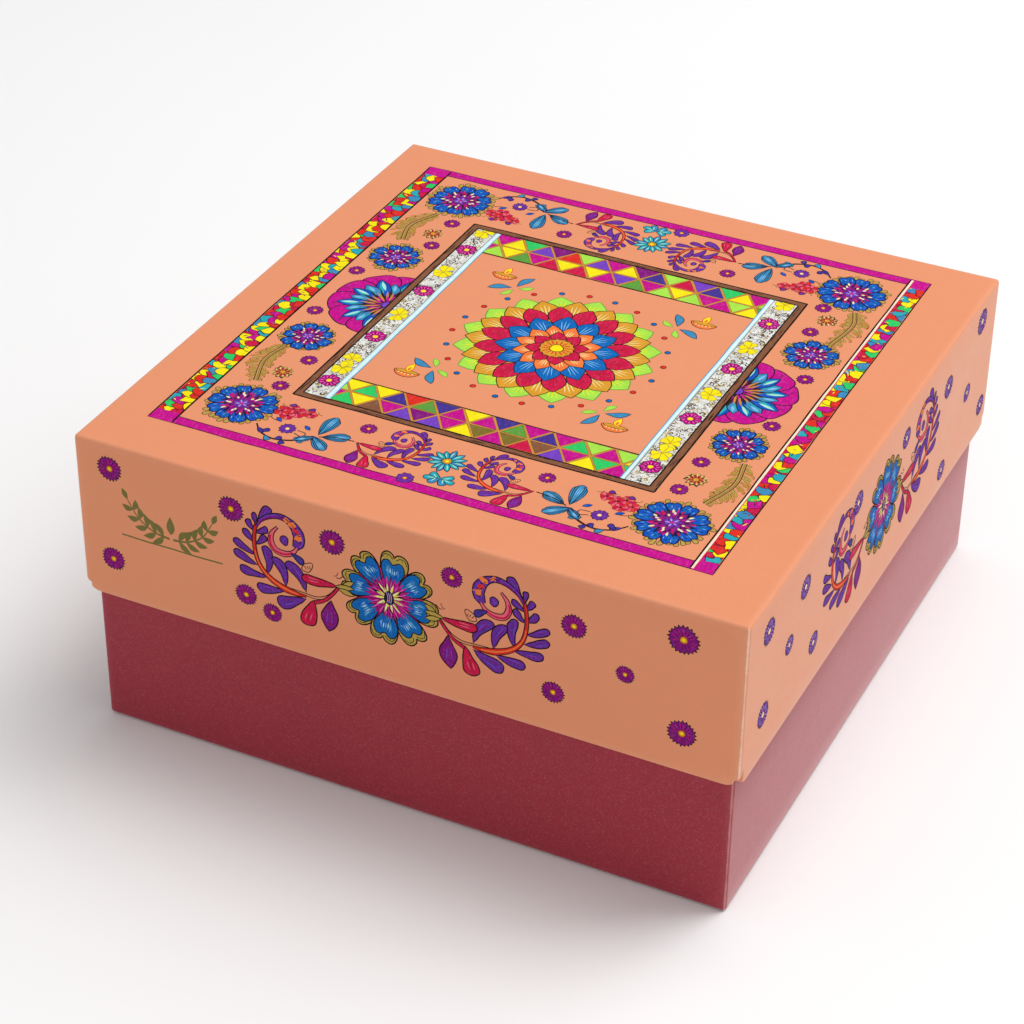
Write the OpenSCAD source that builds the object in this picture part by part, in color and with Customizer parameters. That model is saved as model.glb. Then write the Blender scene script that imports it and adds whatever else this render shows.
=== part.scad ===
// Sweet box: a rigid lift-off-lid gift box of wrapped greyboard, with a loose divider grid inside.
// The box stands on z = 0 with its middle on the Z axis. Its front faces -Y.

/* [Box] */
// Outside width of the lid, left to right
lid_w = 204; // [150:1:300]
// Outside depth of the lid, front to back
lid_d = 204; // [150:1:300]
// Height of the closed box
box_h = 99; // [80:1:150]
// Height of the lid, from its top face to the edge of its skirt
lid_h = 52.5; // [30:0.5:75]
// Gap all round between the tray and the lid's lining
lid_clearance = 0.4; // [0.2:0.05:1.5]
// Outside rounding of the papered edges
edge_r = 1.2; // [0.8:0.1:2.5]
// Rounding of the skirt's lower corners, seen square on
corner_relief_r = 5; // [2:0.5:10]

/* [Board and paper] */
// Thickness of the greyboard panels
board_t = 1.5; // [1:0.1:3]
// Thickness of the outer wrapping papers
wrap_t = 0.2; // [0.1:0.05:0.3]
// Thickness of the corner tapes, and of the glue line behind the wrapping papers
tape_t = 0.15; // [0.1:0.05:0.3]
// Thickness of the lining papers
liner_t = 0.15; // [0.1:0.05:0.3]
// Width of the wrapping paper that is folded over a rim or under the floor
turn_in = 18; // [12:1:25]
// Distance that a lining stops short of the rim
liner_reveal = 8; // [3:1:11]
// Length of each leg of a corner tape
tape_leg = 20; // [8:1:30]
// Distance that a corner tape stops short of the panels' ends
tape_short = 4; // [1:0.5:8]
// Margin of the tray's under-paper inside the edge of the tray
under_paper_margin = 4; // [3:0.5:12]

/* [Divider grid] */
// Cells from left to right
cells_x = 3; // [2:1:5]
// Cells from front to back
cells_y = 3; // [2:1:5]
// Height of the divider strips
divider_h = 60; // [30:1:70]
// Thickness of the divider strips
divider_t = 1.2; // [0.8:0.1:2]
// Gap on each side of a strip in the slot that it crosses
slot_play = 0.05; // [0.02:0.01:0.3]
// Gap between a strip's ends and the tray's lining
divider_play = 0.6; // [0.3:0.1:3]
// Rounding of the strips' upper corners
divider_corner_r = 6; // [1:0.5:12]
// Thickness of the greaseproof sheet
sheet_t = 0.08; // [0.05:0.01:0.2]
// Margin of the greaseproof sheet inside the tray's lining
sheet_margin = 1.5; // [0.5:0.5:10]

/* [Hidden] */
$fn = 64;
past = 1; // how far a cutter runs past what it cuts

// Levels, from the table up
under_paper_t = wrap_t;
tray_wrap_z = under_paper_t;
floor_board_z = tray_wrap_z + wrap_t;
tray_liner_z = floor_board_z + board_t;
sheet_z = tray_liner_z + liner_t;
divider_z = sheet_z + sheet_t;
lid_rim_z = box_h - lid_h;
top_board_z = box_h - wrap_t - board_t;
lid_liner_z = top_board_z - liner_t;
tray_rim_z = lid_liner_z;

// Stack of papers and board in a wall, from its outer face inwards
board_in = wrap_t + tape_t;
turn_in_in = board_in + board_t;
liner_in = turn_in_in + wrap_t;
wall_t = liner_in + liner_t;

// The tray's outside and inside
tray_w = lid_w - 2 * (wall_t + lid_clearance);
tray_d = lid_d - 2 * (wall_t + lid_clearance);
inside_w = tray_w - 2 * wall_t;
inside_d = tray_d - 2 * wall_t;

// The divider grid
grid_w = inside_w - 2 * divider_play;
grid_d = inside_d - 2 * divider_play;
cell_w = grid_w / cells_x;
cell_d = grid_d / cells_y;
slot_w = divider_t + 2 * slot_play;

PEACH = [0.93, 0.62, 0.47];
MAROON = [0.52, 0.17, 0.22];
GREYBOARD = [0.60, 0.57, 0.52];
KRAFT = [0.72, 0.56, 0.38];
IVORY = [0.93, 0.89, 0.78];
GOLD = [0.83, 0.66, 0.33];
GREASEPROOF = [0.93, 0.92, 0.88];

SIDES = ["front", "back", "left", "right"];
LONG_DIVIDERS = [for (i = [1:cells_y - 1]) str("divider_long_", i)];
CROSS_DIVIDERS = [for (i = [1:cells_x - 1]) str("divider_cross_", i)];

// A block standing on z, centred on the Z axis in plan
module block(w, d, z, h) {
    translate([-w / 2, -d / 2, z]) cube([w, d, h]);
}

// A block with its four upright edges rounded
module upright_round_block(w, d, z, h, r) {
    block(w - 2 * r, d, z, h);
    block(w, d - 2 * r, z, h);
    for (sx = [-1, 1], sy = [-1, 1])
        translate([sx * (w / 2 - r), sy * (d / 2 - r), z]) cylinder(r = r, h = h);
}

// The same block with its upper edges rounded too, as paper folds over a board's edge
module crowned_block(w, d, z, h, r) {
    top = z + h - r;
    upright_round_block(w, d, z, h - r, r);
    block(w - 2 * r, d - 2 * r, z, h);
    for (sy = [-1, 1])
        translate([-w / 2 + r, sy * (d / 2 - r), top]) rotate([0, 90, 0]) cylinder(r = r, h = w - 2 * r);
    for (sx = [-1, 1])
        translate([sx * (w / 2 - r), d / 2 - r, top]) rotate([90, 0, 0]) cylinder(r = r, h = d - 2 * r);
    for (sx = [-1, 1], sy = [-1, 1])
        translate([sx * (w / 2 - r), sy * (d / 2 - r), top]) sphere(r = r);
}

// The same block with its lower edges rounded instead
module footed_block(w, d, z, h, r) {
    translate([0, 0, 2 * z + h]) mirror([0, 0, 1]) crowned_block(w, d, z, h, r);
}

// What is taken off the lower corners of a skirt, so that its edge turns up in an arc of radius r.
// The skirt is w by d outside with its lower edge at z, and the cut goes depth into each wall.
module skirt_reliefs(w, d, z, depth, r) {
    for (sx = [-1, 1], sy = [-1, 1]) {
        difference() {
            translate([sx * (w / 2 - (r - past) / 2), sy * (d / 2 - (depth - past) / 2), z + (r - past) / 2])
                cube([r + past, depth + past, r + past], center = true);
            translate([sx * (w / 2 - r), sy * (d / 2 - depth / 2), z + r])
                rotate([90, 0, 0]) cylinder(r = r, h = depth + 4 * past, center = true);
        }
        difference() {
            translate([sx * (w / 2 - (depth - past) / 2), sy * (d / 2 - (r - past) / 2), z + (r - past) / 2])
                cube([depth + past, r + past, r + past], center = true);
            translate([sx * (w / 2 - depth / 2), sy * (d / 2 - r), z + r])
                rotate([0, 90, 0]) cylinder(r = r, h = depth + 4 * past, center = true);
        }
    }
}

// The space that one panel of a set of four walls fills: front and back run the full width,
// left and right fit between them
module wall_panel(side, w, d, z, h) {
    if (side == "front") translate([-w / 2, -d / 2, z]) cube([w, board_t, h]);
    if (side == "back") translate([-w / 2, d / 2 - board_t, z]) cube([w, board_t, h]);
    if (side == "left") translate([-w / 2, board_t - d / 2, z]) cube([board_t, d - 2 * board_t, h]);
    if (side == "right") translate([w / 2 - board_t, board_t - d / 2, z]) cube([board_t, d - 2 * board_t, h]);
}

// Four paper tapes, each folded round an upright corner of the boards, which measure w by d outside
module corner_tapes(w, d, z, h, r) {
    leg = tape_leg + r;
    intersection() {
        difference() {
            upright_round_block(w + 2 * tape_t, d + 2 * tape_t, z, h, r + tape_t);
            upright_round_block(w, d, z - past, h + 2 * past, r);
        }
        for (sx = [-1, 1], sy = [-1, 1])
            translate([sx * (w - leg + tape_t) / 2, sy * (d - leg + tape_t) / 2, z + h / 2])
                cube([leg + tape_t, leg + tape_t, h], center = true);
    }
}

// The boards of the tray fit in this block, which is the tray less its wrap and glue line
board_r = edge_r - board_in;
tray_board_w = tray_w - 2 * board_in;
tray_board_d = tray_d - 2 * board_in;
tray_board_top = tray_rim_z - wrap_t;

module tray_floor_board() {
    color(GREYBOARD) intersection() {
        footed_block(tray_board_w, tray_board_d, floor_board_z, tray_board_top - floor_board_z, board_r);
        block(tray_w, tray_d, floor_board_z - past, board_t + past);
    }
}

module tray_board(side) {
    color(GREYBOARD) intersection() {
        upright_round_block(tray_board_w, tray_board_d, floor_board_z, tray_board_top - floor_board_z, board_r);
        wall_panel(side, tray_board_w, tray_board_d, tray_liner_z, tray_board_top - tray_liner_z);
    }
}

module tray_corner_tapes() {
    z = tray_liner_z + tape_short;
    color(KRAFT) corner_tapes(tray_board_w, tray_board_d, z, tray_board_top - tape_short - z, board_r);
}

// One sheet, folded up round the four walls, over the rim and down inside, and in under the floor
module tray_wrap() {
    h = tray_rim_z - tray_wrap_z;
    color(MAROON) difference() {
        footed_block(tray_w, tray_d, tray_wrap_z, h, edge_r);
        // the room for the boards, which leaves the fold over the rim standing
        difference() {
            footed_block(tray_w - 2 * wrap_t, tray_d - 2 * wrap_t, floor_board_z,
                tray_board_top - floor_board_z, edge_r - wrap_t);
            block(tray_w - 2 * turn_in_in, tray_d - 2 * turn_in_in, tray_rim_z - turn_in, turn_in + past);
        }
        block(tray_w - 2 * liner_in, tray_d - 2 * liner_in, tray_rim_z - turn_in - past, turn_in + 2 * past);
        block(tray_w - 2 * turn_in, tray_d - 2 * turn_in, tray_wrap_z - past, wrap_t + 2 * past);
    }
}

module tray_under_paper() {
    color(MAROON)
        block(tray_w - 2 * under_paper_margin, tray_d - 2 * under_paper_margin, 0, under_paper_t);
}

module tray_lining() {
    h = tray_rim_z - liner_reveal - tray_liner_z;
    color(IVORY) difference() {
        block(tray_w - 2 * liner_in, tray_d - 2 * liner_in, tray_liner_z, h);
        block(inside_w, inside_d, sheet_z, h);
    }
}

module greaseproof_sheet() {
    color(GREASEPROOF)
        block(inside_w - 2 * sheet_margin, inside_d - 2 * sheet_margin, sheet_z, sheet_t);
}

// A strip along X, standing on z = 0 with its middle over the origin. The slots take the strips that cross
// it, and open at its upper edge, or else at its lower edge. Its upper corners are rounded.
module divider_strip(length, slots_at, slots_open_up) {
    slot_h = divider_h / 2;
    r = divider_corner_r;
    difference() {
        block(length, divider_t, 0, divider_h);
        for (x = slots_at)
            translate([x, 0, slots_open_up ? slot_h : -past]) block(slot_w, divider_t + 2 * past, 0, slot_h + past);
        for (s = [-1, 1]) difference() {
            translate([s * length / 2, 0, divider_h - r]) block(2 * r, divider_t + 2 * past, 0, r + past);
            translate([s * (length / 2 - r), 0, divider_h - r])
                rotate([90, 0, 0]) cylinder(r = r, h = divider_t + 4 * past, center = true);
        }
    }
}

// Where the strips between n cells of the given size lie, from the middle
function between_cells(n, size) = [for (i = [1:n - 1]) (i - n / 2) * size];

module divider_long(i) {
    color(GOLD) translate([0, between_cells(cells_y, cell_d)[i - 1], divider_z])
        divider_strip(grid_w, between_cells(cells_x, cell_w), true);
}

module divider_cross(i) {
    color(GOLD) translate([between_cells(cells_x, cell_w)[i - 1], 0, divider_z])
        rotate([0, 0, 90]) divider_strip(grid_d, between_cells(cells_y, cell_d), false);
}

// The boards of the lid fit in this block, which is the lid less its wrap and glue line
lid_board_w = lid_w - 2 * board_in;
lid_board_d = lid_d - 2 * board_in;
lid_board_z = lid_rim_z + wrap_t;

module lid_top_board() {
    color(GREYBOARD) intersection() {
        crowned_block(lid_board_w, lid_board_d, lid_board_z, box_h - wrap_t - lid_board_z, board_r);
        block(lid_w, lid_d, top_board_z, board_t + past);
    }
}

module lid_board(side) {
    color(GREYBOARD) difference() {
        intersection() {
            upright_round_block(lid_board_w, lid_board_d, lid_board_z, top_board_z - lid_board_z, board_r);
            wall_panel(side, lid_board_w, lid_board_d, lid_board_z, top_board_z - lid_board_z);
        }
        skirt_reliefs(lid_board_w, lid_board_d, lid_board_z, liner_in, corner_relief_r - wrap_t);
    }
}

module lid_corner_tapes() {
    z = lid_rim_z + corner_relief_r + tape_short;
    color(KRAFT) corner_tapes(lid_board_w, lid_board_d, z, top_board_z - tape_short - z, board_r);
}

// One sheet, folded down over the four walls, round the skirt's edge and up inside
module lid_wrap() {
    color(PEACH) difference() {
        crowned_block(lid_w, lid_d, lid_rim_z, lid_h, edge_r);
        skirt_reliefs(lid_w, lid_d, lid_rim_z, liner_in, corner_relief_r);
        // the room for the boards, which leaves the fold round the skirt's edge standing
        difference() {
            crowned_block(lid_w - 2 * wrap_t, lid_d - 2 * wrap_t, lid_board_z, box_h - wrap_t - lid_board_z,
                edge_r - wrap_t);
            block(lid_w - 2 * turn_in_in, lid_d - 2 * turn_in_in, lid_rim_z - past, turn_in + past);
            skirt_reliefs(lid_w - 2 * wrap_t, lid_d - 2 * wrap_t, lid_board_z, liner_in,
                corner_relief_r - wrap_t);
        }
        block(lid_w - 2 * liner_in, lid_d - 2 * liner_in, lid_rim_z - past, turn_in + 2 * past);
    }
}

module lid_lining() {
    z = lid_rim_z + liner_reveal;
    color(IVORY) difference() {
        block(lid_w - 2 * liner_in, lid_d - 2 * liner_in, z, top_board_z - z);
        block(lid_w - 2 * wall_t, lid_d - 2 * wall_t, z - past, lid_liner_z - z + past);
    }
}

tray_floor_board();
for (side = SIDES)
    tray_board(side);
tray_corner_tapes();
tray_wrap();
tray_under_paper();
tray_lining();
greaseproof_sheet();
for (i = [1:cells_y - 1])
    divider_long(i);
for (i = [1:cells_x - 1])
    divider_cross(i);
lid_top_board();
for (side = SIDES)
    lid_board(side);
lid_corner_tapes();
lid_wrap();
lid_lining();
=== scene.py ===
"""Looks of a square sweet box: a maroon tray under a deep peach lid printed with a painted folk border.

The frame gives the boards, tapes, linings and dividers. This file gives them their finishes, and adds the
two folded wrapping papers, the painted prints on the lid, the crinkled greaseproof sheet and the studio.
"""

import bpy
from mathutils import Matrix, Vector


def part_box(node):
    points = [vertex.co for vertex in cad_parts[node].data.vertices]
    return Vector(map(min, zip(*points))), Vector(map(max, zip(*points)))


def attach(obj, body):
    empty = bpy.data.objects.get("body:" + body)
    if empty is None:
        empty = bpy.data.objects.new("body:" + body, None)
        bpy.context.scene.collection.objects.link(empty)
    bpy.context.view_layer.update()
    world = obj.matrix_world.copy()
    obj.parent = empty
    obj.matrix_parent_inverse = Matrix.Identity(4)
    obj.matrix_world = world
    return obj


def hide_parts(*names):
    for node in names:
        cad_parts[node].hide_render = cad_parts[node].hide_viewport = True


bl_info = {
    "name": "Printed Sweet Box",
    "version": (1, 0, 0),
    "blender": (4, 5, 0),
    "location": "3D View > Sidebar > Sweet Box",
    "description": "Papers, painted prints, boards and studio for a rigid sweet box with a lift-off lid",
    "category": "Object",
}

import copy
import math

import bmesh
import bpy
import numpy as np
from bpy.props import FloatProperty, FloatVectorProperty, IntProperty, PointerProperty
from mathutils import Matrix, Vector
from mathutils.geometry import delaunay_2d_cdt

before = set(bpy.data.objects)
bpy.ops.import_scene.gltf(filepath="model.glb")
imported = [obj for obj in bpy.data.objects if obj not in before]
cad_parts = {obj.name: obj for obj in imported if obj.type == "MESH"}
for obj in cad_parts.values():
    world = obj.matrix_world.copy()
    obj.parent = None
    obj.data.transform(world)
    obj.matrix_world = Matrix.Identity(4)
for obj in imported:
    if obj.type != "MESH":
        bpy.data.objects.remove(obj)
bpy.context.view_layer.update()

MM = 0.001

# Sizes that the papers share with the boards under them, in millimetres
PAPER_T = 0.2
TURN_IN = 18.0
TURN_IN_INSET = 2.05
CORNER_RELIEF = 5.0
RIM_FOLD_R = 0.45

# The paint, as it looks on the paper
INKS = {
    "outline": "#160604",
    "brown": "#84553A",
    "umber": "#34190F",
    "magenta": "#C4088A",
    "deep_magenta": "#9E1270",
    "pink": "#F07AB8",
    "plum": "#82127A",
    "plum_light": "#A63A96",
    "plum_edge": "#330A28",
    "blue": "#0466B4",
    "navy": "#0E1238",
    "royal": "#0C52B8",
    "sky": "#7EBBE8",
    "teal": "#3A8AB8",
    "turquoise": "#26A6B4",
    "mint": "#A9E6CF",
    "indigo": "#43308E",
    "purple": "#6A2C98",
    "violet": "#7440BE",
    "lavender": "#B9A2DE",
    "red": "#DC2C20",
    "orange": "#F07A3A",
    "crimson": "#CC1446",
    "dark_red": "#A01832",
    "rose": "#E86478",
    "gold": "#B89C48",
    "olive": "#7E6C2A",
    "amber": "#D99A2A",
    "ochre": "#C98A3C",
    "yellow": "#F6E410",
    "cream": "#F2E6A0",
    "ivory": "#F4E2C8",
    "white": "#F3F3F0",
    "lime": "#A6E04A",
    "green": "#2CC864",
    "leaf_green": "#5C9C3C",
    "black": "#221014",
    "silver": "#D6D5CE",
    "grey": "#8E8C8A",
    "pale_blue": "#C5ECF2",
    "sprig": "#77703A",
}
INK_NAMES = list(INKS)


def linear(code):
    """The linear colour of a hexadecimal screen colour."""
    values = np.array([int(code[i : i + 2], 16) for i in (1, 3, 5)]) / 255
    values = np.where(values <= 0.04045, values / 12.92, ((values + 0.055) / 1.055) ** 2.4)
    return tuple(float(v) for v in values)


class PaperSettings(bpy.types.PropertyGroup):
    lid_colour: FloatVectorProperty(
        name="Lid paper", description="Colour of the lid's wrapping paper", subtype="COLOR",
        default=linear("#E49168"), min=0, max=1,
    )
    tray_colour: FloatVectorProperty(
        name="Tray paper", description="Colour of the tray's wrapping paper", subtype="COLOR",
        default=linear("#A02B3C"), min=0, max=1,
    )
    fold_radius: FloatProperty(
        name="Fold radius", description="Rounding of the papered edges", unit="LENGTH",
        default=1.2 * MM, min=0.8 * MM, max=2.5 * MM,
    )
    # Width of the pale line along the folds: paper worn to its core, and painted highlight
    wear_and_highlight_width: FloatProperty(
        name="Fold wear", description="Width of the rubbed line along the folds, in millimetres",
        default=0.32, min=0, max=3,
    )


class PrintSettings(bpy.types.PropertyGroup):
    film: FloatProperty(
        name="Paint thickness", description="Height of the paint above the paper", unit="LENGTH",
        default=0.03 * MM, min=0.01 * MM, max=0.2 * MM,
    )
    offset: FloatVectorProperty(
        name="Print offset", description="Middle of the top's print from the middle of the lid", size=2,
        unit="LENGTH", default=(-1.9 * MM, 2.4 * MM),
    )
    seed: IntProperty(name="Hand", description="Seed of the brush's small irregularities", default=7, min=0)


class InsideSettings(bpy.types.PropertyGroup):
    lining_colour: FloatVectorProperty(
        name="Lining", description="Colour of the lining papers", subtype="COLOR",
        default=linear("#EFE4C6"), min=0, max=1,
    )
    card_colour: FloatVectorProperty(
        name="Divider card", description="Colour of the dividers' metallic face", subtype="COLOR",
        default=linear("#CFA85A"), min=0, max=1,
    )
    crinkle: FloatProperty(
        name="Crinkle", description="Height of the greaseproof sheet's crinkles", unit="LENGTH",
        default=0.5 * MM, min=0, max=1.5 * MM,
    )


class StageSettings(bpy.types.PropertyGroup):
    azimuth: FloatProperty(
        name="Azimuth", description="Camera's angle round the box from the front", subtype="ANGLE",
        default=math.radians(25.72),
    )
    elevation: FloatProperty(
        name="Elevation", description="Camera's angle above the table", subtype="ANGLE",
        default=math.radians(33.883),
    )
    roll: FloatProperty(
        name="Roll", description="Camera's turn about its own axis", subtype="ANGLE",
        default=math.radians(0.648),
    )
    lens: FloatProperty(
        name="Lens", description="Focal length on a 36 mm wide sensor, in millimetres", default=99.795, min=10,
    )
    distance: FloatProperty(
        name="Distance", description="Camera's distance from its target", unit="LENGTH", default=0.84925,
    )
    sky: FloatProperty(name="Sky", description="Brightness of the room's even light", default=0.39, min=0)
    key: FloatProperty(name="Key", description="Power of the window light, in watts", default=17.5, min=0)


# Shapes on paper, in millimetres


def anticlockwise(outline):
    """The closed outline in anticlockwise order, found from the sign of the area that it sweeps."""
    x, y = np.asarray(outline, float).T
    swept = np.sum(x * np.roll(y, -1) - y * np.roll(x, -1))
    return np.asarray(outline, float)[:: 1 if swept > 0 else -1]


def grown(outline, by):
    """The closed anticlockwise outline with each point moved out along its normal, the chord between its
    neighbours turned a quarter clockwise."""
    chord = np.roll(outline, -1, 0) - np.roll(outline, 1, 0)
    length = np.maximum(np.hypot(chord[:, 0], chord[:, 1]), 1e-9)[:, None]
    return outline + by * np.column_stack([chord[:, 1], -chord[:, 0]]) / length


def through(points, count, closed=False):
    """A smooth curve through the points: between two of them a cubic whose slope at each is half the step
    between its neighbours, at evenly spaced values of its parameter."""
    p = np.asarray(points, float)
    if closed:
        order = np.arange(len(p))
        before, start, end, after = (p[(order + k) % len(p)] for k in (-1, 0, 1, 2))
    else:
        p = np.vstack([2 * p[0] - p[1], p, 2 * p[-1] - p[-2]])
        before, start, end, after = p[:-3], p[1:-2], p[2:-1], p[3:]
    s = np.arange(count) / (count if closed else count - 1) * len(start)
    i = np.minimum(s.astype(int), len(start) - 1)
    t = (s - i)[:, None]
    a, b, c, d = before[i], start[i], end[i], after[i]
    return 0.5 * (2 * b + (c - a) * t + (2 * a - 5 * b + 4 * c - d) * t**2 + (3 * b - a - 3 * c + d) * t**3)


def leaf(base, tip, width, bend=0.0, full=1.0, count=11):
    """A leaf from base to tip. Its half width is half of width times the sine of pi times t to the power
    full, so that full above 1 makes it widest near the tip. Its middle line bows sideways by bend."""
    base, tip = np.asarray(base, float), np.asarray(tip, float)
    t = np.linspace(0, 1, count)[:, None]
    across = np.array([-(tip - base)[1], (tip - base)[0]]) / max(np.hypot(*(tip - base)), 1e-9)
    middle = base + t * (tip - base) + bend * np.sin(np.pi * t) * across
    half = width / 2 * np.sin(np.pi * t**full) * across
    return anticlockwise(np.vstack([middle + half, (middle - half)[-2:0:-1]]))


def club(base, tip, width, bend=0.0, count=11):
    """A leaf with a round tip. Its half width is 0.69 times width times t to the power 0.8 times the square
    root of 1 - t to the power 6, sampled closer towards the tip. Its middle line bows sideways by bend."""
    base, tip = np.asarray(base, float), np.asarray(tip, float)
    t = 1 - (1 - np.linspace(0, 1, count)[:, None]) ** 1.9
    across = np.array([-(tip - base)[1], (tip - base)[0]]) / max(np.hypot(*(tip - base)), 1e-9)
    middle = base + t * (tip - base) + bend * np.sin(np.pi * t) * across
    half = 0.69 * width * t**0.8 * np.sqrt(np.maximum(1 - t**6, 0)) * across
    return anticlockwise(np.vstack([middle + half, (middle - half)[-2:0:-1]]))


def ring(radius, count=24, ripple=0.0, waves=0, phase=0.0, squash=1.0):
    """A closed curve round the origin with radius times (1 + ripple times the cosine of waves times the
    angle), and its height squashed."""
    a = np.linspace(0, 2 * np.pi, count, endpoint=False) + phase
    r = radius * (1 + ripple * np.cos(waves * (a - phase)))
    return np.column_stack([r * np.cos(a), squash * r * np.sin(a)])


def spiked(outer, inner, spikes, phase=0.0, jitter=None):
    """A star whose points are in turn at the outer and the inner radius, each changed by its jitter."""
    a = np.linspace(0, 2 * np.pi, 2 * spikes, endpoint=False) + phase
    r = np.where(np.arange(2 * spikes) % 2, inner, outer)
    r = r if jitter is None else r * (1 + jitter)
    return np.column_stack([r * np.cos(a), r * np.sin(a)])


def clipped(outline, axis, limit, side):
    """The part of a closed outline where side times (coordinate - limit) is at least 0: each edge that
    crosses the limit gets a point there, and the points beyond are dropped."""
    depth = side * (outline[:, axis] - limit)
    after = np.roll(outline, -1, 0)
    depth_after = np.roll(depth, -1)
    share = depth / np.where(depth == depth_after, 1, depth - depth_after)
    crossing = outline + share[:, None] * (after - outline)
    pairs = np.stack([outline, crossing], 1).reshape(-1, 2)
    kept = np.stack([depth >= 0, (depth >= 0) != (depth_after >= 0)], 1).ravel()
    return pairs[kept]


class InkSheet:
    """Paint laid on one flat area in millimetres, with later shapes over earlier ones. A child from at()
    paints on the same sheet in its own axes."""

    def __init__(self, seed):
        self.shapes = []
        self.inks = []
        self.rng = np.random.default_rng(seed)
        self.matrix = np.eye(3)
        self.window = ()

    def at(self, x, y, turn=0.0, size=1.0, flip=1.0):
        """The same sheet with its axes moved to x, y, turned by degrees, scaled, and mirrored if flip is -1."""
        c, s = math.cos(math.radians(turn)) * size, math.sin(math.radians(turn)) * size
        child = copy.copy(self)
        child.matrix = self.matrix @ np.array([[c * flip, -s, x], [s * flip, c, y], [0, 0, 1]])
        return child

    def within(self, x0, x1, y0, y1):
        """The same sheet, painting only inside a rectangle of the whole sheet and inside its earlier ones."""
        child = copy.copy(self)
        child.window = self.window + ((0, x0, 1), (0, x1, -1), (1, y0, 1), (1, y1, -1))
        return child

    def fill(self, outline, ink):
        """One closed shape in one ink."""
        points = anticlockwise(np.asarray(outline, float) @ self.matrix[:2, :2].T + self.matrix[:2, 2])
        for axis, limit, side in self.window:
            points = clipped(points, axis, limit, side)
            if len(points) < 3:
                return
        self.shapes.append(points)
        self.inks.append(INK_NAMES.index(ink))

    def edged(self, outline, ink, width=0.36, edge="outline"):
        """A shape with a drawn line of the given width round it."""
        outline = anticlockwise(outline)
        self.fill(grown(outline, width), edge)
        self.fill(outline, ink)

    def stroke(self, path, width, ink):
        """A brush line along the path: a four-sided patch for each step, so that it may cross itself. The
        width is one number or one for each point."""
        path = np.asarray(path, float)
        step = np.gradient(path, axis=0)
        across = np.column_stack([-step[:, 1], step[:, 0]]) / np.maximum(np.hypot(*step.T), 1e-9)[:, None]
        half = np.broadcast_to(np.asarray(width, float), len(path))[:, None] / 2 * across
        left, right = path + half, path - half
        for patch in np.stack([right[:-1], right[1:], left[1:], left[:-1]], 1):
            self.fill(patch, ink)

    def edged_stroke(self, path, width, ink, line=0.3, edge="outline"):
        """A brush line with a drawn line on each side."""
        self.stroke(path, np.asarray(width, float) + 2 * line, edge)
        self.stroke(path, width, ink)

    def shake(self, amount, *shape):
        """Random numbers up to amount either way."""
        return self.rng.uniform(-amount, amount, shape or None)


def hand_drawn(sheet, outline, amount=0.12):
    """The outline with a slow wobble: two waves round it with random phase, in x and in y."""
    a = np.linspace(0, 2 * np.pi, len(outline), endpoint=False)[:, None]
    phase = sheet.rng.uniform(0, 2 * np.pi, (2, 2))
    return outline + amount * (np.sin(2 * a + phase[0]) + 0.6 * np.sin(5 * a + phase[1]))


def radial_strokes(sheet, count, start, end, width, ink, phase=0.0, vary=0.15):
    """Short strokes from the start radius to the end radius at even angles, with random lengths."""
    angles = np.radians(phase) + np.linspace(0, 2 * np.pi, count, endpoint=False) + sheet.shake(0.06, count)
    for a, more in zip(angles, 1 + sheet.shake(vary, count)):
        way = np.array([math.cos(a), math.sin(a)])
        sheet.fill(leaf(way * start, way * end * more, width, count=4), ink)


def painted_rosette(sheet, radius, teeth=22, ink="plum", streak="magenta", heart="amber"):
    """A small aster: a toothed disc with a dark edge, dark and bright streaks and a small ringed heart."""
    notches = sheet.shake(0.04, 2 * teeth)
    sheet.fill(spiked(radius * 1.07, radius * 0.9, teeth, jitter=notches), "outline")
    sheet.fill(spiked(radius * 0.97, radius * 0.82, teeth, jitter=notches), ink)
    radial_strokes(sheet, teeth - 7, radius * 0.35, radius * 0.86, 0.32, streak)
    radial_strokes(sheet, teeth - 8, radius * 0.3, radius * 0.8, 0.26, "plum_edge", phase=9)
    sheet.fill(ring(radius * 0.31, 12, 0.12, 4), "dark_red")
    sheet.fill(hand_drawn(sheet, ring(radius * 0.23, 9), 0.06), heart)
    sheet.fill(ring(radius * 0.11, 6), "yellow")


def painted_gold_floret(sheet, radius):
    """A small gold star flower with cream strokes, a dark red zigzag ring and an amber heart."""
    sheet.fill(spiked(radius * 1.1, radius * 0.86, 11, jitter=sheet.shake(0.1, 22)), "umber")
    sheet.fill(spiked(radius * 1.0, radius * 0.74, 11, jitter=sheet.shake(0.1, 22)), "gold")
    radial_strokes(sheet, 11, radius * 0.5, radius * 0.95, 0.3, "cream", phase=6)
    sheet.fill(spiked(radius * 0.82, radius * 0.56, 9, jitter=sheet.shake(0.1, 18)), "dark_red")
    radial_strokes(sheet, 9, radius * 0.3, radius * 0.62, 0.34, "amber", phase=20)
    sheet.edged(hand_drawn(sheet, ring(radius * 0.27, 9), 0.06), "amber", 0.16, "umber")


HEART_PETAL = [(5.2, -0.9), (7.6, -2.5), (10.6, -3.7), (13.2, -3.4), (14.1, -1.9), (12.7, 0.0), (14.1, 1.9),
               (13.2, 3.4), (10.6, 3.7), (7.6, 2.5), (5.2, 0.9)]
HEART_BRACT = [(5.2, -1.1), (8.2, -2.9), (11.2, -4.1), (14.4, -4.1), (15.9, -2.7), (15.6, -1.1), (14.2, 0.0),
               (15.6, 1.1), (15.9, 2.7), (14.4, 4.1), (11.2, 4.1), (8.2, 2.9), (5.2, 1.1)]


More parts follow.
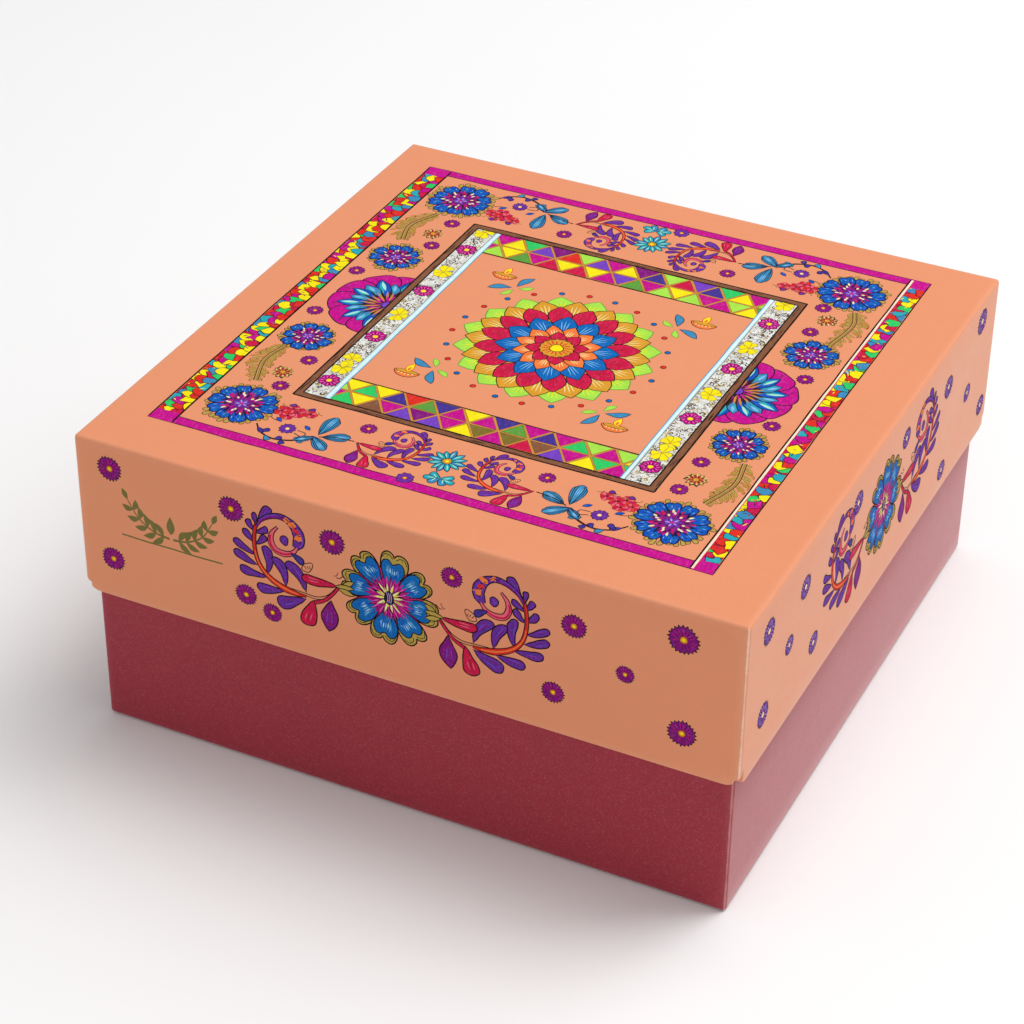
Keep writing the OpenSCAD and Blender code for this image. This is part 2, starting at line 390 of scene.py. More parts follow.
def painted_heart_flower(sheet):
    """The skirt's large flower, 17 mm in radius: eight notched blue petals in gold double-cusped rims, red
    wedges between them, a magenta ring, cream spikes and a dark heart."""
    petals = 8
    for k in range(petals):
        petal = sheet.at(0, 0, 83 + 360 * k / petals + sheet.shake(2.0), 0.97 + sheet.shake(0.03))
        rim = hand_drawn(sheet, through(HEART_BRACT, 44, True), 0.14)
        petal.edged(rim, "gold", 0.46)
        for side in (-1, 1):
            path = through([(13.4, side * 4.0), (15.0, side * 3.2), (15.1, side * 1.7), (14.0, side * 0.6)], 8)
            petal.stroke(path, 0.26, "umber")
            petal.stroke([(14.0, side * 2.6), (15.2, side * 2.2)], 0.22, "olive")
    for k in range(petals):
        wedge = sheet.at(0, 0, 83 + 360 * (k + 0.5) / petals)
        wedge.edged(leaf((4.0, 0.0), (11.6, sheet.shake(0.5)), 1.1, count=8), "crimson", 0.24)
        wedge.fill(leaf((5.6, 0.0), (9.8, 0.1), 0.5, count=6), "magenta")
    for k in range(petals):
        petal = sheet.at(0, 0, 83 + 360 * k / petals, 0.95 + sheet.shake(0.03))
        petal.edged(hand_drawn(sheet, through(HEART_PETAL, 40, True), 0.16), "blue", 0.4)
        petal.fill(leaf((7.0, -0.4), (12.4, -2.2), 0.8, -0.3, count=8), "royal")
        petal.fill(leaf((7.0, 0.4), (12.6, 2.2), 0.6, 0.3, count=8), "teal")
        zigzag = [(9.0 + 2.0 * (n % 2) + 0.12 * n, -2.1 + 0.42 * n) for n in range(11)]
        petal.stroke(np.array(zigzag) + sheet.shake(0.35, 11, 2), 0.22, "sky")
        for n in range(5):
            start = np.array([9.0 + sheet.shake(0.6), (n - 2) * 0.7])
            petal.fill(leaf(start, start + (2.2 + sheet.shake(0.5), 0.12 * (n - 2)), 0.3, count=5),
                       "pale_blue" if n % 2 else "sky")
    sheet.fill(spiked(8.1, 5.9, 34, jitter=sheet.shake(0.08, 68)), "plum_edge")
    sheet.fill(spiked(7.6, 5.4, 34, jitter=sheet.shake(0.08, 68)), "magenta")
    radial_strokes(sheet, 24, 2.6, 7.0, 0.42, "deep_magenta")
    radial_strokes(sheet, 20, 3.4, 6.8, 0.26, "pink", phase=7)
    radial_strokes(sheet, 22, 2.6, 6.6, 0.26, "plum_edge", phase=3)
    radial_strokes(sheet, 12, 0.6, 5.3, 1.15, "outline", phase=11)
    radial_strokes(sheet, 12, 0.8, 5.0, 0.8, "cream", phase=11)
    radial_strokes(sheet, 9, 1.0, 3.8, 0.42, "yellow", phase=30)
    radial_strokes(sheet, 10, 0.8, 4.4, 0.24, "umber", phase=22)
    sheet.edged(hand_drawn(sheet, ring(1.4, 16, squash=1.6), 0.12), "navy", 0.26)
    for n in range(3):
        path = through([(n * 0.6 - 0.7, -1.7), (n * 0.6 - 0.4, 0.1), (n * 0.6 - 0.8, 1.8)], 6)
        sheet.stroke(path, 0.22, "lavender")
    sheet.stroke(through([(-0.2, -1.0), (0.3, 0.0), (0.1, 1.2)], 5), 0.28, "rose")
    for side in (-1, 1):
        bract = sheet.at(0, -1.6, 0, 1, side)
        for lift, reach in ((2.5, 14.8), (0.7, 17.0), (-1.1, 16.0)):
            bract.edged(leaf((11.6, lift * 1.3), (reach + 0.4, lift * 0.4), 1.5, count=7), "gold", 0.34)
        bract.stroke([(15.0, 4.4), (16.2, 3.2), (17.2, 3.3)], 0.24, "outline")
        bract.stroke([(16.6, 5.2), (17.0, 4.0), (18.0, 3.6)], 0.2, "outline")


SCROLL_OUTER_LEAVES = [
    ((-42.6, -11.6), (-38.9, -5.6), 2.4), ((-43.2, -12.4), (-44.0, -8.8), 1.3), ((-43.8, -14.6), (-46.2, -11.6), 1.6),
    ((-44.2, -18.4), (-47.4, -15.2), 1.9), ((-44.3, -22.6), (-50.8, -19.4), 2.1),
    ((-43.8, -26.0), (-50.8, -23.2), 2.4), ((-40.8, -29.2), (-49.2, -28.6), 2.6),
    ((-35.2, -32.2), (-43.8, -33.4), 2.9), ((-28.6, -32.8), (-37.3, -36.9), 4.0),
]
SCROLL_INNER_LEAVES = [
    ((-43.8, -15.2), (-40.0, -12.8), 1.7, -0.2), ((-43.7, -18.9), (-40.6, -15.6), 1.8, -0.3),
    ((-40.6, -28.0), (-40.8, -18.9), 2.7, -1.0), ((-34.6, -30.3), (-38.0, -21.8), 3.0, -1.2),
    ((-28.4, -30.4), (-34.0, -22.0), 3.3, -1.3),
]


def painted_scroll(sheet):
    """The scroll to the left of the skirt's flower, in the skirt's own axes: a red stem that curls into a
    purple and orange hook round a dot, with club-shaped leaves on both sides of it."""
    for at, (base, tip, width, bend) in enumerate([(*leaf, 0.3) for leaf in SCROLL_OUTER_LEAVES] + SCROLL_INNER_LEAVES):
        base, tip = np.array(base), np.array(tip)
        sheet.edged(hand_drawn(sheet, club(base, tip, width, bend + sheet.shake(0.15), 12), 0.08), "purple", 0.36)
        aside = np.array([-(tip - base)[1], (tip - base)[0]]) / np.hypot(*(tip - base))
        for n in (-1, 0, 1):
            start = base * 0.62 + tip * 0.38 + (0.12 * n * width + 0.8 * bend) * aside
            end = base * 0.14 + tip * 0.86 + (0.2 * n * width + 0.3 * bend) * aside
            sheet.fill(leaf(start, end, 0.13 * width, count=5), ("violet", "plum", "indigo")[(at + n) % 3])
    stem = through([(-39.6, -8.4), (-43.0, -11.6), (-44.2, -16.6), (-44.0, -21.8), (-42.6, -26.0), (-39.6, -29.2),
                    (-35.4, -31.2), (-31.4, -31.9), (-28.2, -31.8)], 40)
    width = np.interp(np.linspace(0, 1, 40), [0, 0.15, 0.5, 0.78, 1], [0.3, 0.8, 1.0, 1.9, 0.3])
    sheet.edged_stroke(stem, width, "red", 0.28)
    sheet.stroke(stem[14:36], 0.3 * width[14:36], "orange")
    sheet.stroke(stem[4:20] + (0.25, 0.1), 0.22, "dark_red")
    tail = through([(-33.0, -30.6), (-29.0, -30.8), (-24.9, -30.9), (-21.4, -29.2), (-18.6, -25.8)], 16)
    sheet.stroke(tail, 0.26, "outline")
    sheet.stroke(tail[4:] + (0.2, -0.75), 0.24, "outline")
    runner = through([(-26.0, -33.2), (-22.6, -31.4), (-20.0, -28.6), (-17.6, -25.2)], 12)
    sheet.edged_stroke(runner, np.linspace(0.9, 0.5, 12), "crimson", 0.26)
    hook = through([(-43.4, -13.0), (-41.8, -10.4), (-38.8, -8.3), (-35.4, -7.5), (-32.4, -8.6), (-30.4, -11.0),
                    (-29.9, -13.8), (-31.2, -16.6)], 36)
    sheet.edged_stroke(hook, np.interp(np.arange(36), [0, 8, 18, 26, 32, 35], [0.3, 1.0, 1.7, 3.3, 3.0, 1.4]), "purple", 0.34)
    sheet.stroke(hook[1:18] + (0.1, -0.25), 0.5, "plum")
    sheet.stroke(hook[4:16] + (0.0, 0.3), 0.26, "violet")
    for n, size in ((17, 0.9), (21, 1.25), (25, 1.0), (29, 1.35)):
        patch = hand_drawn(sheet, ring(size, 9, squash=0.8), 0.35) + hook[n] + sheet.shake(0.3, 2)
        sheet.fill(patch, "orange" if n != 25 else "red")
    for n in (15, 19, 23, 27, 31):
        sheet.stroke([hook[n] + (-1.0, 0.6), hook[n] + (0.0, -0.2), hook[n] + (1.1, 0.3)], 0.26, "outline")
    sheet.stroke(hook[22:34] + (1.0, -0.2), 0.3, "violet")
    crescent = through([(-36.6, -11.2), (-38.4, -13.6), (-38.9, -16.4), (-37.6, -18.9), (-34.8, -19.5), (-32.2, -18.5),
                        (-30.6, -16.4)], 30)
    sheet.edged_stroke(crescent, np.interp(np.arange(30), [0, 10, 19, 29], [0.3, 1.6, 1.7, 0.5]), "rose", 0.3)
    sheet.stroke(crescent[6:26] + (-0.3, -0.2), 0.6, "crimson")
    sheet.edged(hand_drawn(sheet, ring(1.15, 14, squash=1.25), 0.1) + (-34.6, -15.0), "purple", 0.3)
    sheet.stroke([(-35.0, -15.6), (-34.3, -14.2)], 0.3, "violet")
    sheet.edged(club((-32.6, -18.7), (-28.9, -21.0), 2.0, 0.2), "indigo", 0.3)
    bud = through([(-29.0, -21.2), (-26.4, -20.0), (-25.9, -21.2), (-27.3, -23.4), (-29.4, -22.9), (-28.6, -21.0)], 18)
    sheet.stroke(bud, 0.26, "umber")
    for lift in (0.0, 0.9, 1.7):
        sheet.stroke([(-28.6 + lift, -21.6 + 0.2 * lift), (-27.9 + lift * 0.8, -22.6 + 0.3 * lift)], 0.2, "umber")
    for base, tip, width, ink in (((-18.4, -25.4), (-29.4, -25.6), 2.7, "crimson"),
                                  ((-25.9, -32.6), (-28.6, -41.3), 4.6, "crimson")):
        base, tip = np.array(base), np.array(tip)
        sheet.edged(hand_drawn(sheet, club(base, tip, width, 0.2, 15), 0.1), ink, 0.38)
        for n in (-1, 0, 1):
            start, end = base * 0.5 + tip * 0.5, base * 0.15 + tip * 0.85
            shift = np.array([0.0, 0.16 * width * n]) if ink and tip[0] < -29 else np.array([0.17 * width * n, 0.0])
            sheet.fill(leaf(start + shift, end + shift, 0.34, count=5), "rose" if n else "dark_red")
    drop = leaf((-20.6, -30.8), (-21.4, -41.2), 5.0, 0.2, 1.25, 16)
    sheet.edged(hand_drawn(sheet, drop, 0.1), "plum", 0.38)
    for n in (-1, 0, 1):
        sheet.fill(leaf((-21.0 + 0.5 * n, -34.2), (-21.2 + 0.9 * n, -39.0), 0.36, count=5), "violet" if n else "purple")


def painted_sprig(sheet):
    """A plain olive garland, 30 mm wide: two bowed leaf sprigs that meet over a drop, and a line under them."""
    for side in (-1, 1):
        half = sheet.at(0, 0, 0, 1, side)
        stem = through([(0.6, -5.2), (5.4, -4.4), (10.4, -1.2), (13.8, 4.2)], 24)
        half.stroke(stem, np.linspace(0.75, 0.3, 24), "sprig")
        for n in range(3, 23, 4):
            for hand in (-1, 1):
                way = stem[min(n + 1, 23)] - stem[n - 1]
                way = way / np.hypot(*way)
                aim = 0.72 * way + hand * 0.7 * np.array([-way[1], way[0]])
                half.fill(leaf(stem[n], stem[n] + aim * (5.4 - 0.09 * n), 1.9, 0.5 * hand, 0.95, 14), "sprig")
        half.fill(leaf(stem[-1], stem[-1] + (1.6, 3.4), 1.7), "sprig")
        half.stroke([(0.0, -8.4), (8.0, -8.5), (16.5, -8.3)], 0.5, "sprig")
    sheet.fill(leaf((0.0, -3.6), (0.0, 2.4), 2.6, full=0.8, count=14), "sprig")


def painted_top_flower(sheet, radius, petals=10):
    """A double blue flower of the garden: gold curls behind blunt blue petals, then magenta, crimson and cream
    strokes round a violet heart. Sizes are shares of the radius."""
    r = radius
    for k in range(petals):
        frill = sheet.at(0, 0, 360 * (k + 0.25) / petals + sheet.shake(6.0), 1 + sheet.shake(0.05))
        for turn, reach in ((0.0, 1.14), (0.19, 1.08), (-0.19, 1.06)):
            tip = np.array([math.cos(turn), math.sin(turn)]) * r
            frill.edged(club(0.8 * tip, (reach + sheet.shake(0.03)) * tip, 0.13 * r, 0.02 * r, 8), "gold", 0.2, "umber")
    for k in range(petals):
        petal = sheet.at(0, 0, 360 * k / petals + sheet.shake(3.0), 0.97 + sheet.shake(0.06))
        shape = through([(0.42 * r, -0.06 * r), (0.64 * r, -0.2 * r), (0.88 * r, -0.22 * r), (1.0 * r, -0.12 * r),
                         (0.95 * r, 0.0), (1.0 * r, 0.13 * r), (0.87 * r, 0.22 * r), (0.64 * r, 0.2 * r),
                         (0.42 * r, 0.06 * r)], 28, True)
        petal.edged(hand_drawn(sheet, shape, 0.1), "royal", 0.42, "navy")
        petal.fill(leaf((0.6 * r, 0.07 * r), (0.95 * r, 0.1 * r), 0.12 * r, count=7), "blue")
        for n in range(6):
            lift = (n - 2.5) * 0.065 * r
            start = np.array([(0.7 + 0.08 * (n % 2)) * r + sheet.shake(0.3), lift])
            petal.fill(leaf(start, start + (0.13 * r + sheet.shake(0.3), 0.1 * lift), 0.27, count=4),
                       ("sky", "navy", "teal")[n % 3])
    sheet.fill(spiked(0.68 * r, 0.5 * r, 22, jitter=sheet.shake(0.08, 44)), "navy")
    sheet.fill(spiked(0.62 * r, 0.45 * r, 22, jitter=sheet.shake(0.08, 44)), "plum")
    for count, out, inks in ((24, 0.56, ("navy", "crimson", "magenta", "cream")),
                             (20, 0.45, ("crimson", "navy", "ivory", "plum_edge")),
                             (17, 0.35, ("cream", "navy", "magenta"))):
        for n in range(count):
            a = 2 * math.pi * n / count + sheet.shake(0.1)
            spot = np.array([math.cos(a), math.sin(a)]) * (out * r + sheet.shake(0.25))
            sheet.fill(leaf(spot * 0.82, spot * 1.16, 0.075 * r, sheet.shake(0.2), count=4), inks[n % len(inks)])
    sheet.edged(spiked(0.24 * r, 0.16 * r, 11, jitter=sheet.shake(0.1, 22)), "purple", 0.24, "navy")
    radial_strokes(sheet, 7, 0.05 * r, 0.26 * r, 0.06 * r, "violet", phase=20)
    radial_strokes(sheet, 5, 0.04 * r, 0.2 * r, 0.05 * r, "lavender", phase=50)
    sheet.fill(ring(0.06 * r, 6), "magenta")


def painted_half_flower(sheet, radius):
    """The big flower that the brown frame half covers: ten magenta lobes, pointed blue, teal and pale green
    strokes in them, and a streaked purple and gold heart."""
    r = radius
    lobes = 10
    for k in range(lobes):
        lobe = sheet.at(0, 0, 360 * k / lobes + 18)
        shape = through([(0.2 * r, -0.1 * r), (0.66 * r, -0.33 * r), (0.93 * r, -0.26 * r), (1.0 * r, 0.0),
                         (0.93 * r, 0.26 * r), (0.66 * r, 0.33 * r), (0.2 * r, 0.1 * r)], 30, True)
        lobe.edged(hand_drawn(sheet, shape, 0.15), "magenta", 0.4, "plum_edge")
        lobe.fill(leaf((0.8 * r, 0.0), (0.97 * r, 0.1 * r), 0.05 * r, count=5), "deep_magenta")
    for k in range(2 * lobes):
        petal = sheet.at(0, 0, 180 * k / lobes + 18 + sheet.shake(2.0), 1 + sheet.shake(0.05))
        reach = 0.86 * r if k % 2 == 0 else 0.74 * r
        petal.edged(leaf((0.2 * r, 0.0), (reach, 0.0), 0.24 * r, full=1.15, count=12), "teal" if k % 2 else "royal", 0.34, "navy")
        petal.fill(leaf((0.34 * r, 0.03 * r), (reach - 0.08 * r, 0.02 * r), 0.07 * r, count=7), "turquoise")
        petal.fill(leaf((0.48 * r, -0.03 * r), (reach - 0.05 * r, -0.01 * r), 0.06 * r, count=6), ("mint", "sky")[k % 2])
    sheet.fill(spiked(0.44 * r, 0.3 * r, 22, jitter=sheet.shake(0.1, 44)), "navy")
    sheet.fill(spiked(0.4 * r, 0.26 * r, 22, jitter=sheet.shake(0.1, 44)), "plum")
    radial_strokes(sheet, 20, 0.1 * r, 0.5 * r, 0.05 * r, "umber", phase=4)
    radial_strokes(sheet, 20, 0.1 * r, 0.46 * r, 0.045 * r, "ochre", phase=12)
    radial_strokes(sheet, 14, 0.07 * r, 0.3 * r, 0.05 * r, "magenta", phase=16)
    radial_strokes(sheet, 12, 0.05 * r, 0.22 * r, 0.04 * r, "navy", phase=9)
    sheet.edged(ring(0.1 * r, 12), "violet", 0.24, "navy")


def painted_spray(sheet, path, side=1):
    """A gold feathery spray: two thin stem lines side by side, and light, curled leaves drawn in outline."""
    stem = through(path, 30)
    step = np.gradient(stem, axis=0)
    along = step / np.hypot(*step.T)[:, None]
    across = np.column_stack([-along[:, 1], along[:, 0]])
    for n in range(1, 29):
        for hand in (-1, 1):
            way = (0.7 + sheet.shake(0.5)) * along[n] + hand * across[n]
            reach = 3.3 * math.sin(math.pi * (0.16 + 0.76 * n / 29)) * (0.8 if hand == side else 1.1)
            reach *= (0.6, 1.15, 0.85)[(n + hand) % 3]
            start = stem[n] + 0.4 * hand * across[n]
            tip = start + way * (reach + sheet.shake(0.3))
            ink = ("gold", "ochre", "gold")[(n + hand) % 3]
            sheet.edged(club(start, tip, 0.62, (0.3 + sheet.shake(0.2)) * hand, 5), ink, 0.13, "olive")
            if n % 3 == 0:
                sheet.stroke([tip, tip + 0.7 * along[n], tip + 0.7 * along[n] - 0.6 * hand * across[n]], 0.2, "umber")
    for gap, ink in ((-0.6, "umber"), (0.6, "umber"), (0.0, "gold")):
        sheet.stroke(stem + gap * across, 0.7 if ink == "gold" else 0.26, ink)
    sheet.stroke(stem + 0.1 * across, 0.24, "olive")


def painted_blooms(sheet):
    """A cluster of small red chrysanthemums: narrow overlapping petals with dark red outlines, and buds."""
    for x, y, size in ((-4.4, 0.6, 2.3), (0.2, -0.2, 2.5), (-1.6, 2.2, 2.0), (3.8, -1.2, 1.9), (-1.8, -1.6, 1.8)):
        for k in range(9):
            petal = sheet.at(x, y, 40 * k + sheet.shake(8.0), 1 + sheet.shake(0.15))
            petal.edged(club((0.3, 0.0), (size, 0.0), 1.1, 0.1, 6), ("red", "crimson", "rose")[k % 3], 0.2, "dark_red")
        sheet.fill(ring(0.42, 6) + (x, y), "umber")
    for n in range(7):
        start = np.array([-6.0 + 1.9 * n, -3.2 + 0.9 * (n % 2)])
        sheet.stroke([start, start + (0.8, 1.0), start + (1.9, 1.1)], 0.26, "dark_red" if n % 2 else "olive")
    for x, y in ((2.2, -3.2), (-3.8, -3.0)):
        sheet.edged(club((x, y), (x + 1.8, y - 0.6), 1.3, count=8), "purple", 0.24)


def painted_leafy_scroll(sheet):
    """The upper left part of the garden in the print's own axes: an indigo vine with leaves, four teal leaves
    and a scroll like the skirt's."""
    vine = through([(-57.5, 76.0), (-54.4, 79.4), (-49.6, 81.0), (-44.6, 79.6), (-40.2, 76.4)], 20)
    sheet.stroke(vine, np.linspace(0.5, 0.8, 20), "outline")
    sheet.stroke(vine, np.linspace(0.2, 0.36, 20), "umber")
    for n, hand in ((2, 1), (4, -1), (7, 1), (10, -1), (12, 1), (15, -1), (17, 1)):
        tip = vine[n] + (3.1 - 0.18 * n, 1.7 * hand)
        sheet.edged(club(vine[n], tip, 1.6, 0.15, 8), "teal" if n % 2 else "indigo", 0.24, "navy")
    loop = through([(-45.6, 75.8), (-43.0, 76.6), (-42.6, 74.6), (-45.4, 74.2)], 14)
    sheet.stroke(loop, 0.28, "umber")
    for base, tip, width in (((-40.4, 74.8), (-33.8, 80.0), 3.2), ((-39.0, 73.6), (-38.4, 63.4), 3.7),
                             ((-37.6, 74.2), (-30.2, 71.0), 3.4), ((-39.4, 75.2), (-43.6, 78.6), 2.0)):
        base, tip = np.array(base), np.array(tip)
        aside = np.array([-(tip - base)[1], (tip - base)[0]]) / np.hypot(*(tip - base))
        for n, out in ((-2, 0.86), (2, 0.88), (-1, 0.97), (1, 0.95), (0, 1.0)):
            end = base + out * (tip - base) + 0.17 * width * n * aside
            sheet.edged(club(base, end, 0.5 * width, 0.2 * n, 9), "teal", 0.24, "navy")
        for n in (-1, 0, 1):
            shift = 0.14 * width * n * aside
            sheet.fill(leaf(base * 0.55 + tip * 0.45 + shift, base * 0.12 + tip * 0.88 + shift, 0.26, count=5), "sky")
    sheet.stroke(through([(-38.4, 74.4), (-33.6, 72.6), (-28.4, 72.0)], 10), 0.4, "outline")
    painted_scroll(sheet.at(-39.1, 55.4, 180, 0.66))
    painted_rosette(sheet.at(-48.4, 74.6), 2.5, 11, "purple", "violet", "cream")
    painted_blooms(sheet.at(-50.2, 66.4))
    painted_rosette(sheet.at(-28.0, 64.4), 2.5, 13)
    for x, y in ((-44.6, 71.0), (-54.0, 70.6)):
        sheet.edged(leaf((x, y), (x + 2.2, y + 1.6), 1.2, count=7), "royal", 0.18, "navy")
    sheet.stroke(through([(-58.0, 68.5), (-55.0, 71.6), (-52.0, 72.2)], 8), 0.24, "umber")


def painted_turquoise_flower(sheet):
    """The garden's middle flower: twelve narrow turquoise petals, an amber heart and a pair of teal leaves."""
    bow = sheet.at(-2.2, 0)
    for side in (-1, 1):
        for turn, reach in ((0.2, 4.6), (-0.5, 3.8), (0.9, 3.6)):
            end = (side * reach * math.cos(turn), 8.6 + reach * math.sin(turn))
            bow.edged(club((0.0, 8.4), end, 1.9, 0.2 * side, 9), "turquoise" if turn < 0.5 else "teal", 0.26, "navy")
            bow.fill(leaf((side * 1.0, 8.6), np.array(end) * 0.8 + (0, 1.7), 0.4, count=5), "mint")
    for k in range(12):
        petal = sheet.at(0, 0, 30 * k + sheet.shake(4.0), 1 + sheet.shake(0.1))
        petal.edged(leaf((0.8, 0.0), (5.6, 0.0), 1.6, full=1.1, count=9), ("turquoise", "teal")[k % 3 == 0], 0.28, "navy")
        petal.fill(leaf((2.0, 0.1), (4.8, 0.1), 0.4, count=5), "mint")
    sheet.edged(hand_drawn(sheet, ring(1.3, 11), 0.1), "amber", 0.26, "umber")
    sheet.fill(ring(0.6, 7), "yellow")


def painted_garland(sheet, x0, x1, y0, y1):
    """A band of close, uneven dabs of yellow, red, magenta, turquoise and green, cut at the band's edges."""
    band = sheet.within(x0, x1, y0, y1)
    band.fill([(x0, y0), (x1, y0), (x1, y1), (x0, y1)], "crimson")
    colours = "yellow red teal magenta yellow red turquoise crimson yellow magenta green red".split()
    turn = 0
    columns = 2 if x1 - x0 < 6.5 else 3
    rows = int((y1 - y0) / 3.0)
    for row in range(rows):
        for column in range(columns):
            x = x0 + (column + 0.5 + 0.5 * (row % 2) - 0.25 + sheet.shake(0.25)) * (x1 - x0) / columns
            y = y0 + (row + 0.5 + sheet.shake(0.35)) * (y1 - y0) / rows
            dab = spiked(2.5, 2.1, 4, sheet.rng.uniform(0, 3), sheet.shake(0.28, 8)) * (1.0, 0.85)
            turn += 1 + sheet.rng.integers(3)
            band.edged(dab + (x, y), colours[turn % len(colours)], 0.26, "outline")
    for n in range(int((y1 - y0) / 1.6)):
        place = np.array([sheet.rng.uniform(x0, x1), sheet.rng.uniform(y0, y1)])
        way = sheet.shake(2.0, 2)
        band.fill(leaf(place, place + way, 0.4, count=4), ("dark_red", "yellow", "umber", "deep_magenta")[n % 4])


def straight_edge(sheet, start, end, width, ink, waver=0.12):
    """A ruled line whose middle wanders a little, as a brush does along a ruler."""
    start, end = np.asarray(start, float), np.asarray(end, float)
    count = max(3, int(np.hypot(*(end - start)) / 9))
    t = np.linspace(0, 1, count)[:, None]
    across = np.array([-(end - start)[1], (end - start)[0]]) / np.hypot(*(end - start))
    path = through(start + t * (end - start) + sheet.shake(waver, count, 1) * across, 3 * count)
    sheet.stroke(path, width, ink)


BACK_UPPER = "lime magenta yellow green violet plum red lime violet magenta yellow plum indigo lime crimson violet indigo green yellow magenta lime"
BACK_LOWER = "magenta lime yellow leaf_green magenta crimson yellow crimson yellow magenta violet leaf_green magenta lime yellow lime magenta"
FRONT_UPPER = "lime yellow green yellow indigo red leaf_green indigo magenta yellow magenta indigo leaf_green magenta indigo magenta green lime magenta"
FRONT_LOWER = "magenta green yellow brown magenta violet plum violet magenta yellow olive magenta olive crimson brown violet magenta yellow green"


def painted_triangles(sheet, x0, x1, y0, y1, upper, lower):
    """Two rows of triangles with gold edges, the lower row mirroring the upper, so that each pair across the
    middle line makes a diamond. A triangle is half a diamond 9 mm wide."""
    band = sheet.within(x0, x1, y0, y1)
    band.fill([(x0, y0), (x1, y0), (x1, y1), (x0, y1)], "ochre")
    middle = (y0 + y1) / 2
    half = 4.75
    for names, outer, sign in ((upper.split(), y1, 1), (lower.split(), y0, -1)):
        for n in range(int((x1 - x0) / half) + 2):
            x = x0 + (n - 0.4) * half
            near, far = (middle, outer) if n % 2 else (outer, middle)
            corners = anticlockwise([(x - half, far), (x + half, far), (x, near)])
            inner = corners.mean(0) + (corners - corners.mean(0)) * 0.84
            band.edged(inner + sheet.shake(0.12, 3, 2), names[n % len(names)], 0.2, "umber")
    for y in (y0, y1):
        straight_edge(sheet, (x0, y), (x1, y), 0.5, "umber")


def painted_lace(sheet, x0, x1, y0, y1, rosettes, florets):
    """A silver lace strip: fine curls of grey, gold and white all over, with rosettes and yellow florets."""
    band = sheet.within(x0, x1, y0, y1)
    band.fill([(x0, y0), (x1, y0), (x1, y1), (x0, y1)], "silver")
    turn = np.linspace(0, 4.6, 6)
    for n in range(int((y1 - y0) * 5.6)):
        centre = np.array([sheet.rng.uniform(x0, x1), sheet.rng.uniform(y0, y1)])
        size = sheet.rng.uniform(0.5, 1.3) * (1 - turn / 9)
        a = turn * (1 if n % 2 else -1) + sheet.rng.uniform(0, 6)
        curl = np.column_stack([centre[0] + size * np.cos(a), centre[1] + size * np.sin(a)])
        band.stroke(curl, 0.3, ("umber", "white", "gold", "grey", "umber", "white", "olive")[n % 7])
    middle = (x0 + x1) / 2
    for y in florets:
        for k in range(6):
            a = 1.05 * k + sheet.shake(0.3)
            tip = (middle + 2.9 * math.cos(a), y + 3.9 * math.sin(a) + sheet.shake(0.8))
            band.edged(club((middle, y), tip, 2.4, 0.2, 8), "yellow", 0.16, "olive")
        band.fill(ring(0.5, 7) + (middle, y), "amber")
    for y in rosettes:
        spot = band.at(middle, y)
        spot.edged(hand_drawn(sheet, ring(2.9, 32, 0.1, 8, sheet.rng.uniform(0, 6)), 0.1), "magenta", 0.32, "plum_edge")
        radial_strokes(spot, 12, 1.2, 2.6, 0.34, "plum_edge")
        radial_strokes(spot, 12, 1.4, 2.6, 0.3, "pink", phase=15)
        spot.edged(ring(1.25, 12), "magenta", 0.2, "plum_edge")
        spot.edged(hand_drawn(sheet, ring(0.8, 10), 0.08), "yellow", 0.16, "crimson")
    for x in (x0, x1):
        straight_edge(sheet, (x, y0), (x, y1), 0.3, "grey")


def painted_lamp(sheet):
    """A clay lamp: a bowl, its rim and a flame, 9 mm wide."""
    bowl = through([(-4.6, 0.9), (-2.9, -1.7), (0.0, -2.6), (2.9, -1.7), (4.6, 0.9), (0.0, 0.3)], 26, True)
    sheet.edged(bowl, "orange", 0.28)
    sheet.edged(ring(4.1, 20, squash=0.22) + (0.0, 0.8), "amber", 0.22)
    for n in (-2, -1, 0, 1, 2):
        sheet.fill(ring(0.34, 7) + (1.3 * n, -1.0 + 0.14 * n * n), "cream")
    sheet.edged(leaf((0.0, 1.0), (0.2, 6.2), 2.4, 0.2, 0.8, 12), "yellow", 0.26, "red")
    sheet.fill(leaf((0.0, 1.4), (0.1, 4.2), 1.1, 0.1, 0.8, 8), "orange")


